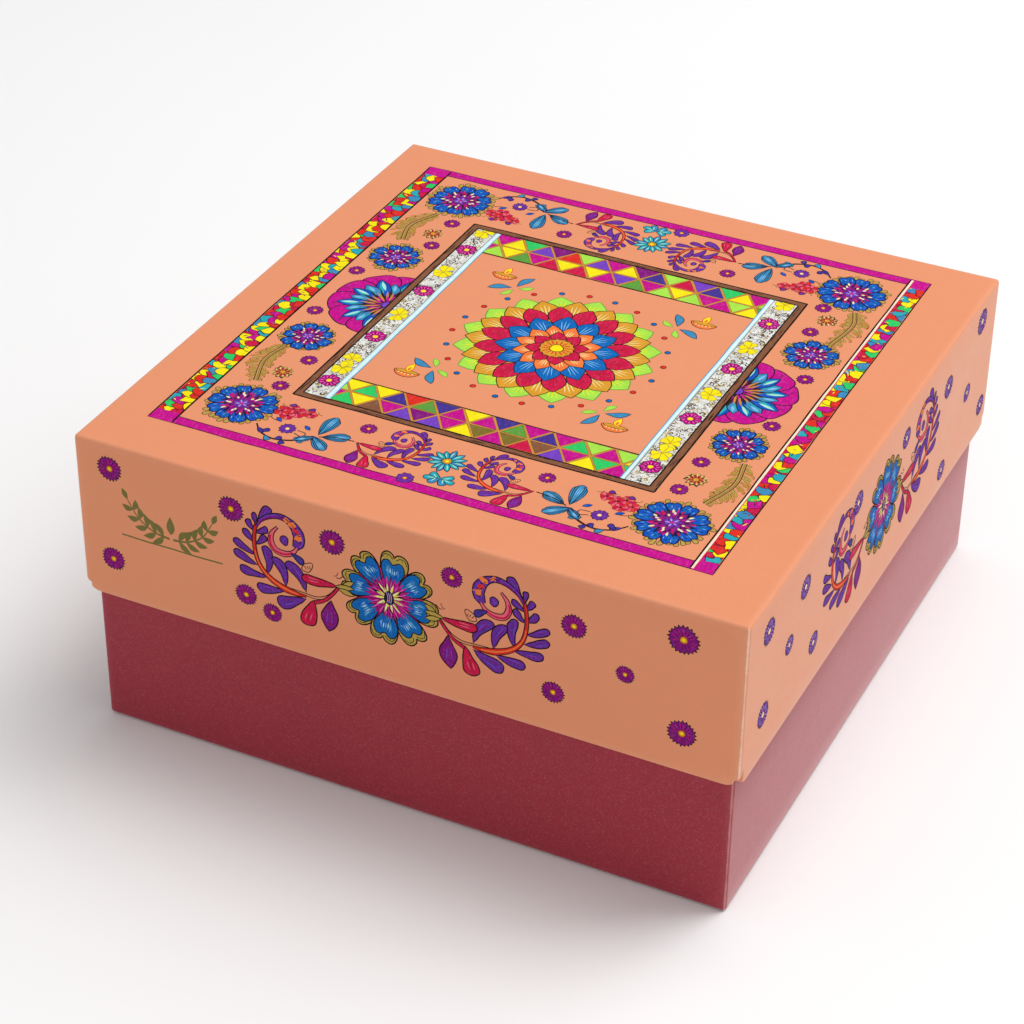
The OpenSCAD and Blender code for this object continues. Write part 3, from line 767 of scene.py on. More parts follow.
def painted_medallion(sheet):
    """A lamp medallion 30 mm in radius: rounds of petals in lime, gold, crimson and blue about a gold heart,
    with four lamps and four leaf sprays round it."""
    rounds = (
        (16, 21.0, 30.5, 8.6, "lime", "leaf_green"),
        (16, 17.5, 28.0, 8.2, "amber", "umber"),
        (16, 15.0, 24.6, 7.0, "crimson", "outline"),
        (12, 9.0, 18.6, 7.4, "blue", "navy"),
        (12, 6.0, 13.2, 5.4, "orange", "outline"),
        (8, 3.0, 9.4, 5.2, "crimson", "outline"),
    )
    for at, (count, start, end, width, ink, edge) in enumerate(rounds):
        for k in range(count):
            petal = sheet.at(0, 0, 360 * (k + 0.5 * (at % 2)) / count)
            shape = leaf((start - 4.0, 0.0), (end, 0.0), width, full=1.35, count=16)
            petal.edged(hand_drawn(sheet, shape, 0.12), ink, 0.32, edge)
            for n in (-1, 0, 1):
                begin, finish = (start + 1.0, 0.5 * n), (end - 2.0 - 0.6 * abs(n), 0.17 * n * width)
                petal.fill(leaf(begin, finish, 0.32, count=5), "cream" if at in (1, 4) else "dark_red" if ink == "crimson" else "sky" if ink == "blue" else "yellow")
    sheet.edged(ring(5.0, 48, 0.06, 16), "amber", 0.3)
    radial_strokes(sheet, 16, 1.4, 4.8, 0.5, "red")
    sheet.edged(hand_drawn(sheet, ring(1.9, 18), 0.1), "yellow", 0.28)
    for k in range(24):
        dot = sheet.at(0, 0, 15 * k + 7.5)
        dot.edged(ring(0.75, 10) + (32.6, 0.0), "blue" if k % 2 else "red", 0.22)
    for turn in (45, 135, 225, 315):
        way = np.array([math.cos(math.radians(turn)), math.sin(math.radians(turn))])
        painted_lamp(sheet.at(*(way * (40.0, 39.0) * 1.17), 0, 0.85))
        spray = sheet.at(*(way * 39.5), turn - 90, 1.0)
        for hand in (-1, 1):
            spray.edged(leaf((hand * 1.0, -1.0), (hand * 7.6, 1.6), 2.4, 0.8 * hand, 1.2, 11), "teal", 0.24, "navy")
            spray.edged(leaf((hand * 1.0, -2.4), (hand * 5.4, -3.6), 1.7, -0.4 * hand, 1.2, 10), "lime", 0.22, "leaf_green")


# The prints, each one sheet of paint


def border_print(settings):
    """The outer border: magenta stripes at back and front, garlands at left and right, dark ruled edges."""
    sheet = InkSheet(settings.seed + 1)
    x0, x1, y0, y1 = -86.8, 86.2, -86.6, 86.6
    left, right, stripe = 7.9, 6.0, 3.4
    for y, thick in ((y1, -stripe), (y0, stripe + 0.3)):
        sheet.fill([(x0, y), (x1, y), (x1, y + thick), (x0, y + thick)], "magenta")
        straight_edge(sheet, (x0, y), (x1, y), 0.34, "plum_edge")
        straight_edge(sheet, (x0 + left, y + thick), (x1 - right, y + thick), 0.34, "outline")
    painted_garland(sheet, x0 + 0.5, x0 + left, y0 + stripe + 1.0, y1 - stripe - 1.2)
    painted_garland(sheet, x1 - right, x1 - 0.5, y0 + stripe + 1.0, y1 - stripe - 1.2)
    for x in (x0, x1 - right):
        for y, thick in ((y1, -5.2), (y0, 5.0)):
            width = left if x == x0 else right
            sheet.fill([(x, y), (x + width, y), (x + width, y + thick), (x, y + thick)], "magenta")
    for x, width, ink in ((x0 + 0.2, 0.5, "outline"), (x0 + left, 0.6, "outline"),
                          (x1 - 0.2, 0.4, "outline"), (x1 - right, 0.7, "ivory"), (x1 - right - 0.6, 0.5, "outline"),
                          (x1 - right + 0.5, 0.3, "crimson")):
        straight_edge(sheet, (x, y0 + 0.4), (x, y1 - 0.4), width, ink)
    painted_rosette(sheet.at(4.9, 82.0), 2.6, 9, "purple", "violet")
    painted_rosette(sheet.at(-7.0, -82.1), 2.6, 9, "purple", "violet")
    return sheet


GARDEN_FLOWERS = ((-67.0, 69.9, 10.1), (66.4, 69.9, 10.1), (-66.4, -68.8, 10.0), (67.0, -69.0, 10.1),
                  (-68.0, 27.2, 7.9), (-68.4, -27.3, 7.8), (68.5, 30.0, 7.9), (68.2, -25.1, 7.8))
GARDEN_FLORETS = ((-62.4, 54.6), (-61.5, 38.9), (-74.7, 14.3), (-74.0, -13.0), (-61.2, -39.3), (-61.5, -55.4),
                  (61.8, 57.7), (63.5, 42.5), (72.0, 16.3), (72.8, -11.8), (62.3, -38.0), (62.3, -53.3))
GARDEN_BLOOMS = ((-64.7, 46.0), (-64.7, -48.5), (65.6, 51.0), (64.5, -46.8))
GARDEN_SPRAYS = (((-69.4, 58.2), (-73.7, 48.2), (-71.5, 38.2)), ((-71.5, -34.7), (-73.0, -44.7), (-69.4, -56.1)),
                 ((71.3, 59.6), (73.5, 51.0), (71.3, 36.6)), ((73.5, -33.3), (74.9, -44.7), (71.3, -56.8)))


def garden_print(settings, low, high):
    """The garden between border and frame, from the height low to the height high: scrolls at back and front,
    flowers, sprays and florets. Its two halves draw the same random numbers, so they meet at y = 0."""
    sheet = InkSheet(settings.seed + 2).within(-78.4, 79.2, low, high)
    for path in GARDEN_SPRAYS:
        painted_spray(sheet, path, 1 if path[0][0] < 0 else -1)
    for flip in (1, -1):
        painted_leafy_scroll(sheet.at(0.2 * flip, 0, 0, 1, flip))
        painted_leafy_scroll(sheet.at(0.2 * flip, 0, 180, 1, -flip))
    painted_turquoise_flower(sheet.at(-0.5, 71.0))
    painted_turquoise_flower(sheet.at(-0.5, -69.4, 180))
    for x, y in GARDEN_BLOOMS:
        painted_gold_floret(sheet.at(x, y), 3.1)
    for x, y in GARDEN_FLORETS:
        painted_rosette(sheet.at(x, y), 2.6, 13, "plum", "magenta", "amber")
    for x, y, radius in GARDEN_FLOWERS:
        painted_top_flower(sheet.at(x, y, sheet.rng.uniform(0, 30)), radius, 10 if radius > 9 else 9)
    painted_half_flower(sheet.within(-78.4, -56.25, low, high).at(-56.1, -0.4), 18.0)
    painted_half_flower(sheet.within(56.95, 79.2, low, high).at(56.8, 1.5, 180), 17.6)
    return sheet


def frame_print(settings, low, high):
    """The brown frame with its lace strips, pale stripes and bands of triangles, from the height low to the
    height high. Its two halves draw the same random numbers, so they meet at y = 0."""
    sheet = InkSheet(settings.seed + 3).within(-60.0, 60.0, low, high)
    x0, x1, y0, y1 = -56.1, 56.8, -57.8, 57.9
    bar = 2.3
    for ax, bx, ay, by in ((x0, x1, y1 - bar, y1), (x0, x1, y0, y0 + bar), (x0, x0 + bar, y0, y1), (x1 - bar, x1, y0, y1)):
        sheet.fill([(ax, ay), (bx, ay), (bx, by), (ax, by)], "brown")
        across = by - ay < bx - ax
        for n in range(26):
            place = np.array([sheet.rng.uniform(ax, bx - 5 * across), sheet.rng.uniform(ay, by - 5 * (not across))])
            way = (5.0, 0.0) if across else (0.0, 5.0)
            sheet.within(ax, bx, ay, by).fill(leaf(place, place + way, 0.3, count=4), "umber")
    lace_left, lace_right = (x0 + bar, -47.1), (47.0, x1 - bar)
    rosettes, florets = (41.3, 12.2, -18.5, -46.5), (54.2, 25.3, -4.0, -33.0, -38.6)
    painted_lace(sheet, *lace_left, y0 + bar, y1 - bar, rosettes, florets)
    painted_lace(sheet, *lace_right, y0 + bar, y1 - bar, rosettes, florets)
    for inner, outer in ((-45.3, -47.1), (45.5, 47.0)):
        middle = (inner + outer) / 2
        sheet.fill([(inner, y0 + bar), (outer, y0 + bar), (outer, y1 - bar), (inner, y1 - bar)], "pale_blue")
        straight_edge(sheet, (middle, y0 + bar), (middle, y1 - bar), 0.3, "white")
        straight_edge(sheet, (outer, y0 + bar), (outer, y1 - bar), 0.28, "grey")
        straight_edge(sheet, (inner, y0 + bar), (inner, y1 - bar), 0.28, "teal")
    painted_triangles(sheet, -45.2, 45.4, 42.0, y1 - bar, BACK_UPPER, BACK_LOWER)
    painted_triangles(sheet, -45.2, 45.4, y0 + bar, -42.4, FRONT_UPPER, FRONT_LOWER)
    for inset, width in ((0.1, 0.45), (bar, 0.4)):
        for start, end in (((x0 + inset, y0 + inset), (x1 - inset, y0 + inset)), ((x1 - inset, y0 + inset), (x1 - inset, y1 - inset)),
                           ((x1 - inset, y1 - inset), (x0 + inset, y1 - inset)), ((x0 + inset, y1 - inset), (x0 + inset, y0 + inset))):
            straight_edge(sheet, start, end, width + 0.1, "outline", 0.1)
    return sheet


def medallion_print(settings):
    """The lamp medallion in the frame's window."""
    sheet = InkSheet(settings.seed + 4)
    painted_medallion(sheet.at(0.3, -0.3, 0, 1.0))
    return sheet


FRONT_ROSETTES = ((-90.6, -8.1, 3.9), (-91.6, -39.0, 3.7), (-51.3, -9.7, 3.9), (-47.7, -37.4, 3.4), (-39.4, -41.0, 3.0),
                  (-19.6, -11.0, 3.9), (16.9, -11.0, 3.2), (53.0, -15.3, 3.7), (68.1, -26.0, 2.7), (47.3, -39.0, 3.4),
                  (84.1, -9.4, 4.4), (84.9, -39.7, 4.1))
SIDE_ROSETTES = ((-87.3, -10.3, 3.9), (-60.6, -13.1, 3.6), (-70.6, -25.7, 3.0), (-87.7, -37.4, 3.8), (-50.6, -38.1, 3.4),
                 (-21.0, -9.6, 3.6), (19.1, -11.1, 3.3), (57.3, -14.6, 3.7), (86.9, -7.4, 4.2), (78.3, -28.1, 3.0),
                 (58.7, -45.0, 3.3), (95.1, -41.7, 3.4))


FRONT_ROSETTE_INKS = ("plum", "magenta", "amber")
SIDE_ROSETTE_INKS = ("purple", "lavender", "ivory")


def skirt_print(settings, seed, rosettes, inks, flower_at, with_sprig):
    """One skirt's print in the skirt's own axes, with its zero at the middle of the top edge."""
    sheet = InkSheet(settings.seed + seed)
    for x, y, radius in rosettes:
        painted_rosette(sheet.at(x, y, sheet.rng.uniform(0, 60)), radius, 22, *inks)
    middle = sheet.at(flower_at[0] + 0.9, flower_at[1] + 24.0)
    painted_scroll(middle)
    painted_scroll(middle.at(-5.0, 0, 0, 1, -1))
    painted_heart_flower(middle.at(-2.2, -24.0, 0, 0.95))
    if with_sprig:
        painted_sprig(sheet.at(-71.5, -21.0))
    return sheet


def inside(points, outline):
    """Which points lie in the closed outline: a ray to the right of each crosses it an odd number of times."""
    x, y = points[:, :1], points[:, 1:]
    (x0, y0), (x1, y1) = outline.T, np.roll(outline, -1, 0).T
    rise = np.where(y1 == y0, 1.0, y1 - y0)
    crossed = ((y0 > y) != (y1 > y)) & (x < x0 + (y - y0) / rise * (x1 - x0))
    return crossed.sum(1) % 2 == 1


def flattened(sheet):
    """The sheet as one layer of triangles: all outlines together in a constrained Delaunay triangulation,
    where each triangle keeps the ink of the last shape that covers it. A shape that claims more area than it
    has, as one does whose outline crosses itself, keeps only the triangles whose middle is inside it."""
    ends = np.cumsum([len(s) for s in sheet.shapes])
    outlines = [list(range(end - len(shape), end)) for end, shape in zip(ends, sheet.shapes)]
    points = [Vector(p) for p in np.vstack(sheet.shapes).tolist()]
    found, _, triangles, _, _, covers = delaunay_2d_cdt(points, [], outlines, 1, 1e-4, True)
    found, triangles = np.array([tuple(p) for p in found]), np.array(triangles)
    corners = found[triangles]
    a, b = corners[:, 1] - corners[:, 0], corners[:, 2] - corners[:, 0]
    area = np.abs(a[:, 0] * b[:, 1] - a[:, 1] * b[:, 0]) / 2
    middle = corners.mean(1)
    shape = np.concatenate([np.array(c, int) for c in covers])
    triangle = np.repeat(np.arange(len(covers)), [len(c) for c in covers])
    claimed = np.bincount(shape, area[triangle], len(sheet.shapes))
    own = [abs(np.sum(s[:, 0] * np.roll(s[:, 1], -1) - s[:, 1] * np.roll(s[:, 0], -1))) / 2 for s in sheet.shapes]
    kept = np.ones(len(shape), bool)
    for n in np.flatnonzero(claimed > 1.01 * np.array(own) + 0.002):
        mine = shape == n
        kept[mine] = inside(middle[triangle[mine]], sheet.shapes[n])
    top = np.full(len(triangles), -1)
    np.maximum.at(top, triangle[kept], shape[kept])
    inked = (top >= 0) & (area > 1e-7)
    used, triangles = np.unique(triangles[inked], return_inverse=True)
    return found[used], triangles.reshape(-1, 3), np.array(sheet.inks)[top[inked]]


def new_piece(name, points, faces, material, body):
    """A mesh object in metres that rides on a body, with the given finish."""
    mesh = bpy.data.meshes.new(name)
    mesh.from_pydata(np.asarray(points).tolist(), [], faces.tolist() if isinstance(faces, np.ndarray) else faces)
    mesh.materials.append(material)
    mesh.update()
    piece = bpy.data.objects.new(name, mesh)
    bpy.context.scene.collection.objects.link(piece)
    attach(piece, body)
    return piece


def print_piece(name, sheet, origin, right, up, settings, material):
    """A flattened sheet of paint on a face of the lid: origin + x right + y up, lifted by the film along the
    face's normal, with the ink as a colour of each corner and a flat map of its own."""
    flat, triangles, inks = flattened(sheet)
    right, up = np.asarray(right, float), np.asarray(up, float)
    out = np.cross(right, up)
    points = np.asarray(origin) + flat[:, :1] * MM * right + flat[:, 1:] * MM * up + settings.film * out
    piece = new_piece(name, points, triangles, material, "lid")
    colours = np.array([linear(INKS[n]) + (1.0,) for n in INK_NAMES], np.float32)
    ink = piece.data.color_attributes.new("ink", "FLOAT_COLOR", "CORNER")
    ink.data.foreach_set("color", np.repeat(colours[inks], 3, 0).ravel())
    low, size = flat.min(0), np.ptp(flat, 0)
    flat_map = piece.data.uv_layers.new(name="OFBake")
    share = 0.01 + 0.98 * (flat - low) / size
    flat_map.data.foreach_set("uv", share[triangles.ravel()].astype(np.float32).ravel())
    wall = piece.modifiers.new("Paint", "SOLIDIFY")
    wall.thickness = settings.film * 0.95
    wall.offset = -1
    return piece


# The wrapping papers


def perimeter(half_x, half_y, fold_r, marks):
    """Samples round a square with rounded corners, for any inset: each is a place on the square's core as
    shares of its half sizes, and the direction out of it. marks are distances from a corner in millimetres."""
    marks = np.asarray(marks) * MM
    arc = np.radians(np.linspace(0, 90, 9))[1:-1]
    core, out = [], []
    for turn in range(4):
        c, s = (1, 0, -1, 0)[turn], (0, 1, 0, -1)[turn]
        half = half_x if turn % 2 == 0 else half_y
        near = -1 + (marks - fold_r) / (half - fold_r)
        along = np.concatenate([near, -near[::-1]])
        side_core = np.column_stack([along, np.full(len(along), -1.0)])
        arc_core = np.tile([1.0, -1.0], (len(arc), 1))
        side_out = np.tile([0.0, -1.0], (len(along), 1))
        arc_out = np.column_stack([np.sin(arc), -np.cos(arc)])
        spin = np.array([[c, s], [-s, c]])
        core.append(np.vstack([side_core, arc_core]) @ spin)
        out.append(np.vstack([side_out, arc_out]) @ spin)
    return np.vstack(core), np.vstack(out)


def wrapped_points(half, fold_r, core, out, insets, heights):
    """The grid of a folded paper: rows are steps of its profile, columns are samples round the box. A point
    is core times (half - the larger of inset and fold radius) + out times what is left of the fold radius."""
    inset = np.asarray(insets)[:, None, None]
    reach = np.asarray(half)[None, None, :] - np.maximum(inset, fold_r)
    plan = core[None] * reach + out[None] * np.maximum(fold_r - inset, 0)
    return np.concatenate([plan, np.broadcast_to(heights, plan.shape[:2])[..., None]], 2)


def quarter(count=6):
    """The angles of a quarter turn."""
    return np.linspace(0, np.pi / 2, count)


def grid_faces(rows, columns):
    """The quads of a grid that closes round its columns."""
    r, c = np.meshgrid(np.arange(rows - 1), np.arange(columns), indexing="ij")
    here, aside = r * columns + c, r * columns + (c + 1) % columns
    return np.stack([here, aside, aside + columns, here + columns], -1).reshape(-1, 4)


def fold_distance(points, folds):
    """The distance in millimetres from each point to the nearest fold line. A fold is a box edge given by two
    coordinates that are fixed on it, as (axis, value) pairs, where the sign of x and y doesn't matter, and a
    distance that is added, more for a softer fold."""
    size = np.abs(points) * [1, 1, 0] + points * [0, 0, 1]
    gaps = [np.hypot(size[:, a] - u, size[:, b] - v) + soft for (a, u), (b, v), soft in folds]
    return np.min(gaps, axis=0) / MM


def paper_piece(name, grid, faces_out, folds, material, body):
    """A folded paper from its grid: doubles merged, faces outwards, 0.2 mm thick, with its fold distances."""
    rows, columns = grid.shape[:2]
    faces = grid_faces(rows, columns)
    piece = new_piece(name, grid.reshape(-1, 3), faces if faces_out else faces[:, ::-1], material, body)
    shape = bmesh.new()
    shape.from_mesh(piece.data)
    bmesh.ops.remove_doubles(shape, verts=shape.verts, dist=2e-6)
    shape.to_mesh(piece.data)
    shape.free()
    place = np.zeros(3 * len(piece.data.vertices))
    piece.data.vertices.foreach_get("co", place)
    fold = piece.data.attributes.new("fold", "FLOAT", "POINT")
    fold.data.foreach_set("value", fold_distance(place.reshape(-1, 3), folds).astype(np.float32))
    piece.data.shade_smooth()
    wall = piece.modifiers.new("Paper", "SOLIDIFY")
    wall.thickness = PAPER_T * MM
    wall.offset = -1
    return piece


def relief_height(points, half):
    """How far a skirt's edge turns up at each place round it, in metres. Along a wall it is an arc of the
    relief's radius at the corner, and within a wall's thickness of a corner the crossing wall's arc counts."""
    r, wall = CORNER_RELIEF * MM, (TURN_IN_INSET + 0.001) * MM
    gap = np.maximum(np.asarray(half) - np.abs(points), 0)
    arc = r - np.sqrt(np.maximum(r**2 - np.maximum(r - gap, 0) ** 2, 0))
    return np.maximum(np.where(gap[:, 1] < wall, arc[:, 0], 0), np.where(gap[:, 0] < wall, arc[:, 1], 0))


def lid_paper_grid(fold_r):
    """The lid's paper from the end of its turn-in, down inside the wall, round the skirt's edge, up the
    outside and over the top to the middle. Returns the grid and its folds."""
    low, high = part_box("lid_wrap")
    half = np.array([high.x, high.y])
    rim, top = low.z, high.z
    marks = [1.2, 1.6, 2.04, 2.06, 2.5, 3.0, 3.6, 4.2, 5.0, 6.5, 10, 20, 35, 55, 78]
    core, out = perimeter(half[0], half[1], fold_r, marks)
    edge, inner, a = RIM_FOLD_R * MM, TURN_IN_INSET * MM, quarter()
    level_row = np.ones(len(core))
    insets = [inner, inner]
    heights = [(rim + TURN_IN * MM) * level_row, (rim + 9 * MM) * level_row]
    under = [(inner - edge + edge * math.cos(v), edge - edge * math.sin(v)) for v in a]
    under += [(flat * MM, 0.0) for flat in (1.35, 1.1, 0.8)]
    under += [(edge - edge * math.sin(v), edge - edge * math.cos(v)) for v in a]
    for inset, lift in under:
        plan = wrapped_points(half, fold_r, core, out, [inset], 0.0)[0, :, :2]
        insets.append(inset)
        heights.append(rim + relief_height(plan, half) + lift)
    for level in (6.5, 9, 16, 28, 40):
        insets.append(0.0)
        heights.append((rim + level * MM) * level_row)
    insets += list(fold_r - fold_r * np.cos(a))
    heights += [(top - fold_r + fold_r * math.sin(v)) * level_row for v in a]
    for reach in (2.5, 6, 14, 40, 75):
        insets.append(reach * MM)
        heights.append(top * level_row)
    insets.append(float(half[0]))
    heights.append(top * level_row)
    ease = 0.35 * fold_r
    folds = [((0, half[0] - ease), (2, top - ease), 0.3 * MM), ((1, half[1] - ease), (2, top - ease), 0.45 * MM),
             ((0, half[0] - ease), (1, half[1] - ease), 0.0),
             ((0, half[0]), (2, rim), 0.1 * MM), ((1, half[1]), (2, rim), 0.1 * MM)]
    return wrapped_points(half, fold_r, core, out, insets, np.array(heights)), folds


def tray_paper_grid(fold_r):
    """The tray's paper from the end of its turn-in, up inside the wall, over the rim, down the outside and in
    under the floor. Returns the grid and its folds."""
    low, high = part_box("tray_wrap")
    half = np.array([high.x, high.y])
    foot, rim = low.z, high.z
    core, out = perimeter(half[0], half[1], fold_r, [1.2, 2.0, 3.5, 6, 12, 25, 45, 70])
    edge, inner, a = RIM_FOLD_R * MM, TURN_IN_INSET * MM, quarter()
    insets = [inner, inner] + list(inner - edge + edge * np.cos(a)) + list(edge - edge * np.sin(a))
    heights = [rim - TURN_IN * MM, rim - 8 * MM] + list(rim - edge + edge * np.sin(a)) + list(rim - edge + edge * np.cos(a))
    for level in (80, 60, 40, 20, 8):
        insets.append(0.0)
        heights.append(level * MM)
    insets += list(fold_r - fold_r * np.cos(a))
    heights += list(foot + fold_r - fold_r * np.sin(a))
    for reach in (3, 9, TURN_IN):
        insets.append(reach * MM)
        heights.append(foot)
    ease = 0.35 * fold_r
    folds = [((0, half[0] - ease), (1, half[1] - ease), 0.0), ((0, half[0]), (2, rim), 0.2 * MM),
             ((1, half[1]), (2, rim), 0.2 * MM), ((0, half[0] - ease), (2, foot + ease), 0.4 * MM),
             ((1, half[1] - ease), (2, foot + ease), 0.4 * MM)]
    return wrapped_points(half, fold_r, core, out, insets, np.array(heights)[:, None]), folds


# Finishes


class Shading:
    """Adds nodes to a shader tree. An input may be given a number, a colour or another node's output."""

    def __init__(self, tree):
        self.tree = tree

    def add(self, kind, inputs, **settings):
        node = self.tree.nodes.new(kind)
        for name, value in settings.items():
            setattr(node, name, value)
        for name, value in inputs.items():
            if isinstance(value, bpy.types.NodeSocket):
                self.tree.links.new(value, node.inputs[name])
            else:
                node.inputs[name].default_value = value
        return node

    def noise(self, place, scale, detail=3.0, rough=0.55):
        inputs = {"Vector": place, "Scale": scale, "Detail": detail, "Roughness": rough}
        return self.add("ShaderNodeTexNoise", inputs).outputs["Fac"]

    def span(self, value, low, high, to_low=0.0, to_high=1.0):
        inputs = {"Value": value, "From Min": low, "From Max": high, "To Min": to_low, "To Max": to_high}
        return self.add("ShaderNodeMapRange", inputs).outputs["Result"]

    def maths(self, operation, a, b=0.0):
        return self.add("ShaderNodeMath", {0: a, 1: b}, operation=operation).outputs[0]

    def mix(self, share, a, b, blend="MIX"):
        colours = {n: v + (1.0,) if isinstance(v, tuple) and len(v) == 3 else v for n, v in ((6, a), (7, b))}
        node = self.add("ShaderNodeMix", {0: share, **colours}, data_type="RGBA", blend_type=blend)
        return node.outputs[2]

    def bump(self, height, strength, distance):
        inputs = {"Height": height, "Strength": strength, "Distance": distance}
        return self.add("ShaderNodeBump", inputs).outputs["Normal"]


def shared_group(name, inputs, outputs, build):
    """A node group that is built once. inputs are (kind, name, default) and outputs (kind, name)."""
    tree = bpy.data.node_groups.get(name)
    if tree:
        return tree
    tree = bpy.data.node_groups.new(name, "ShaderNodeTree")
    for kind, label, default in inputs:
        socket = tree.interface.new_socket(label, in_out="INPUT", socket_type=kind)
        if default is not None:
            socket.default_value = default
    for kind, label in outputs:
        tree.interface.new_socket(label, in_out="OUTPUT", socket_type=kind)
    shading = Shading(tree)
    source = tree.nodes.new("NodeGroupInput")
    target = tree.nodes.new("NodeGroupOutput")
    for label, value in build(shading, source.outputs).items():
        tree.links.new(value, target.inputs[label])
    return tree


def paper_grain_group():
    """Paper grain: long fibres from a stretched noise, felt marks from a coarse one, and fine tooth."""

    def build(shading, given):
        felt = shading.noise(given["Place"], 260.0, 4.0)
        tooth = shading.noise(given["Place"], given["Tooth scale"], 2.0, 0.7)
        cloud = shading.noise(given["Place"], 22.0, 2.0)
        stretch = shading.add("ShaderNodeMapping", {"Vector": given["Place"], "Scale": (1.0, 0.28, 0.5)})
        fibre = shading.noise(stretch.outputs[0], 1900.0, 3.0, 0.6)
        height = shading.maths("ADD", shading.maths("MULTIPLY", tooth, 0.55), shading.maths("MULTIPLY", fibre, 0.45))
        mottle = shading.maths("ADD", shading.maths("MULTIPLY", felt, 0.5), shading.maths("MULTIPLY", cloud, 0.5))
        return {"Height": height, "Mottle": shading.span(mottle, 0.34, 0.66)}

    return shared_group(
        "Paper grain",
        [("NodeSocketVector", "Place", None), ("NodeSocketFloat", "Tooth scale", 2400.0)],
        [("NodeSocketFloat", "Height"), ("NodeSocketFloat", "Mottle")],
        build,
    )


def fold_wear_and_highlight_group():
    """Pale folds: a line round the fold whose width and strength break up along it, partly worn paper and partly
    painted highlight, and a soft band of painted highlight.
    """

    def build(shading, given):
        patch = shading.noise(given["Place"], 140.0, 3.0)
        speck = shading.noise(given["Place"], 1400.0, 2.0)
        width = shading.maths("MULTIPLY", given["Width"], shading.span(patch, 0.3, 0.7, 0.55, 1.35))
        # the line on the fold: paper worn to its core, and painted highlight
        core = shading.span(shading.maths("DIVIDE", given["Fold"], width), 0.35, 1.25, 1.0, 0.0)
        # painted highlight: a soft pale band beside the fold, gone by 2.4 mm from it
        highlight_band = shading.span(given["Fold"], 0.0, 2.4, 0.1, 0.0)
        broken = shading.maths("MULTIPLY", core, shading.span(speck, 0.25, 0.6, 0.6, 1.0))
        return {"Worn and lit": broken, "Painted highlight": highlight_band}

    # The group gives the folds' pale line, worn paper and painted highlight, and a band of painted highlight
    return shared_group(
        "Fold wear",
        [("NodeSocketVector", "Place", None), ("NodeSocketFloat", "Fold", 5.0), ("NodeSocketFloat", "Width", 0.4)],
        [("NodeSocketFloat", "Worn and lit"), ("NodeSocketFloat", "Painted highlight")],
        build,
    )


def new_finish(name):
    """An empty material, its shading helper, its Principled shader and the object's own coordinates."""
    material = bpy.data.materials.new(name)
    material.use_nodes = True
    tree = material.node_tree
    tree.nodes.clear()
    shading = Shading(tree)
    shader = tree.nodes.new("ShaderNodeBsdfPrincipled")
    target = tree.nodes.new("ShaderNodeOutputMaterial")
    tree.links.new(shader.outputs[0], target.inputs[0])
    place = tree.nodes.new("ShaderNodeTexCoord").outputs["Object"]
    return material, shading, shader, place


def finish_with(shading, shader, colour, roughness, normal=None):
    """Joins a colour, a roughness and a normal to the shader."""
    for name, value in (("Base Color", colour), ("Roughness", roughness), ("Normal", normal)):
        if isinstance(value, bpy.types.NodeSocket):
            shading.tree.links.new(value, shader.inputs[name])
        elif value is not None:
            shader.inputs[name].default_value = value


def tinted(colour, by):
    """The colour times a factor, within what can be shown."""
    return tuple(min(1.0, c * by) for c in tuple(colour)[:3])


def wrapping_paper(name, colour, worn_and_lit, settings, tooth, contrast, gloss, relief, sheen, speck_and_glint):
    """Coated wrapping paper with grain, faint felt marks and pale specks, and folds painted pale: partly worn towards
    the paper's core, partly painted highlight.
    """
    material, shading, shader, place = new_finish(name)
    grain = shading.add("ShaderNodeGroup", {}, node_tree=paper_grain_group())
    shading.tree.links.new(place, grain.inputs["Place"])
    grain.inputs["Tooth scale"].default_value = tooth
    fold = shading.add("ShaderNodeAttribute", {}, attribute_name="fold").outputs["Fac"]
    wear_and_highlight = shading.add("ShaderNodeGroup", {}, node_tree=fold_wear_and_highlight_group())
    shading.tree.links.new(place, wear_and_highlight.inputs["Place"])
    shading.tree.links.new(fold, wear_and_highlight.inputs["Fold"])
    wear_and_highlight.inputs["Width"].default_value = settings.wear_and_highlight_width
    mottle, height = grain.outputs["Mottle"], grain.outputs["Height"]
    body = shading.mix(mottle, tinted(colour, 1 - contrast), tinted(colour, 1 + contrast))
    body = shading.mix(shading.span(height, 0.36, 0.6, 0.8, 0.0), body, tinted(colour, 1 - 2.6 * contrast))
    # pale specks: the paper's own speckle, and painted pearly glints
    speck = shading.noise(place, 1.7 * tooth, 1.0, 0.5)
    body = shading.mix(shading.span(speck, 0.56, 0.72, 0.0, speck_and_glint), body, worn_and_lit)
    # painted highlight: a soft pale band beside each fold
    body = shading.mix(wear_and_highlight.outputs["Painted highlight"], body, tinted(worn_and_lit, 0.9))
    # the pale line on each fold: paper worn to its core, and painted highlight
    body = shading.mix(wear_and_highlight.outputs["Worn and lit"], body, worn_and_lit)
    rough = shading.span(mottle, 0.0, 1.0, gloss - 0.05, gloss + 0.07)
    finish_with(shading, shader, body, rough, shading.bump(height, relief, 0.00008))
    shader.inputs["Specular IOR Level"].default_value = 0.24
    shader.inputs["Sheen Weight"].default_value = sheen
    shader.inputs["Sheen Roughness"].default_value = 0.3
    shader.inputs["Sheen Tint"].default_value = tuple(0.6 + 0.4 * c / max(worn_and_lit) for c in worn_and_lit) + (1.0,)
    return material


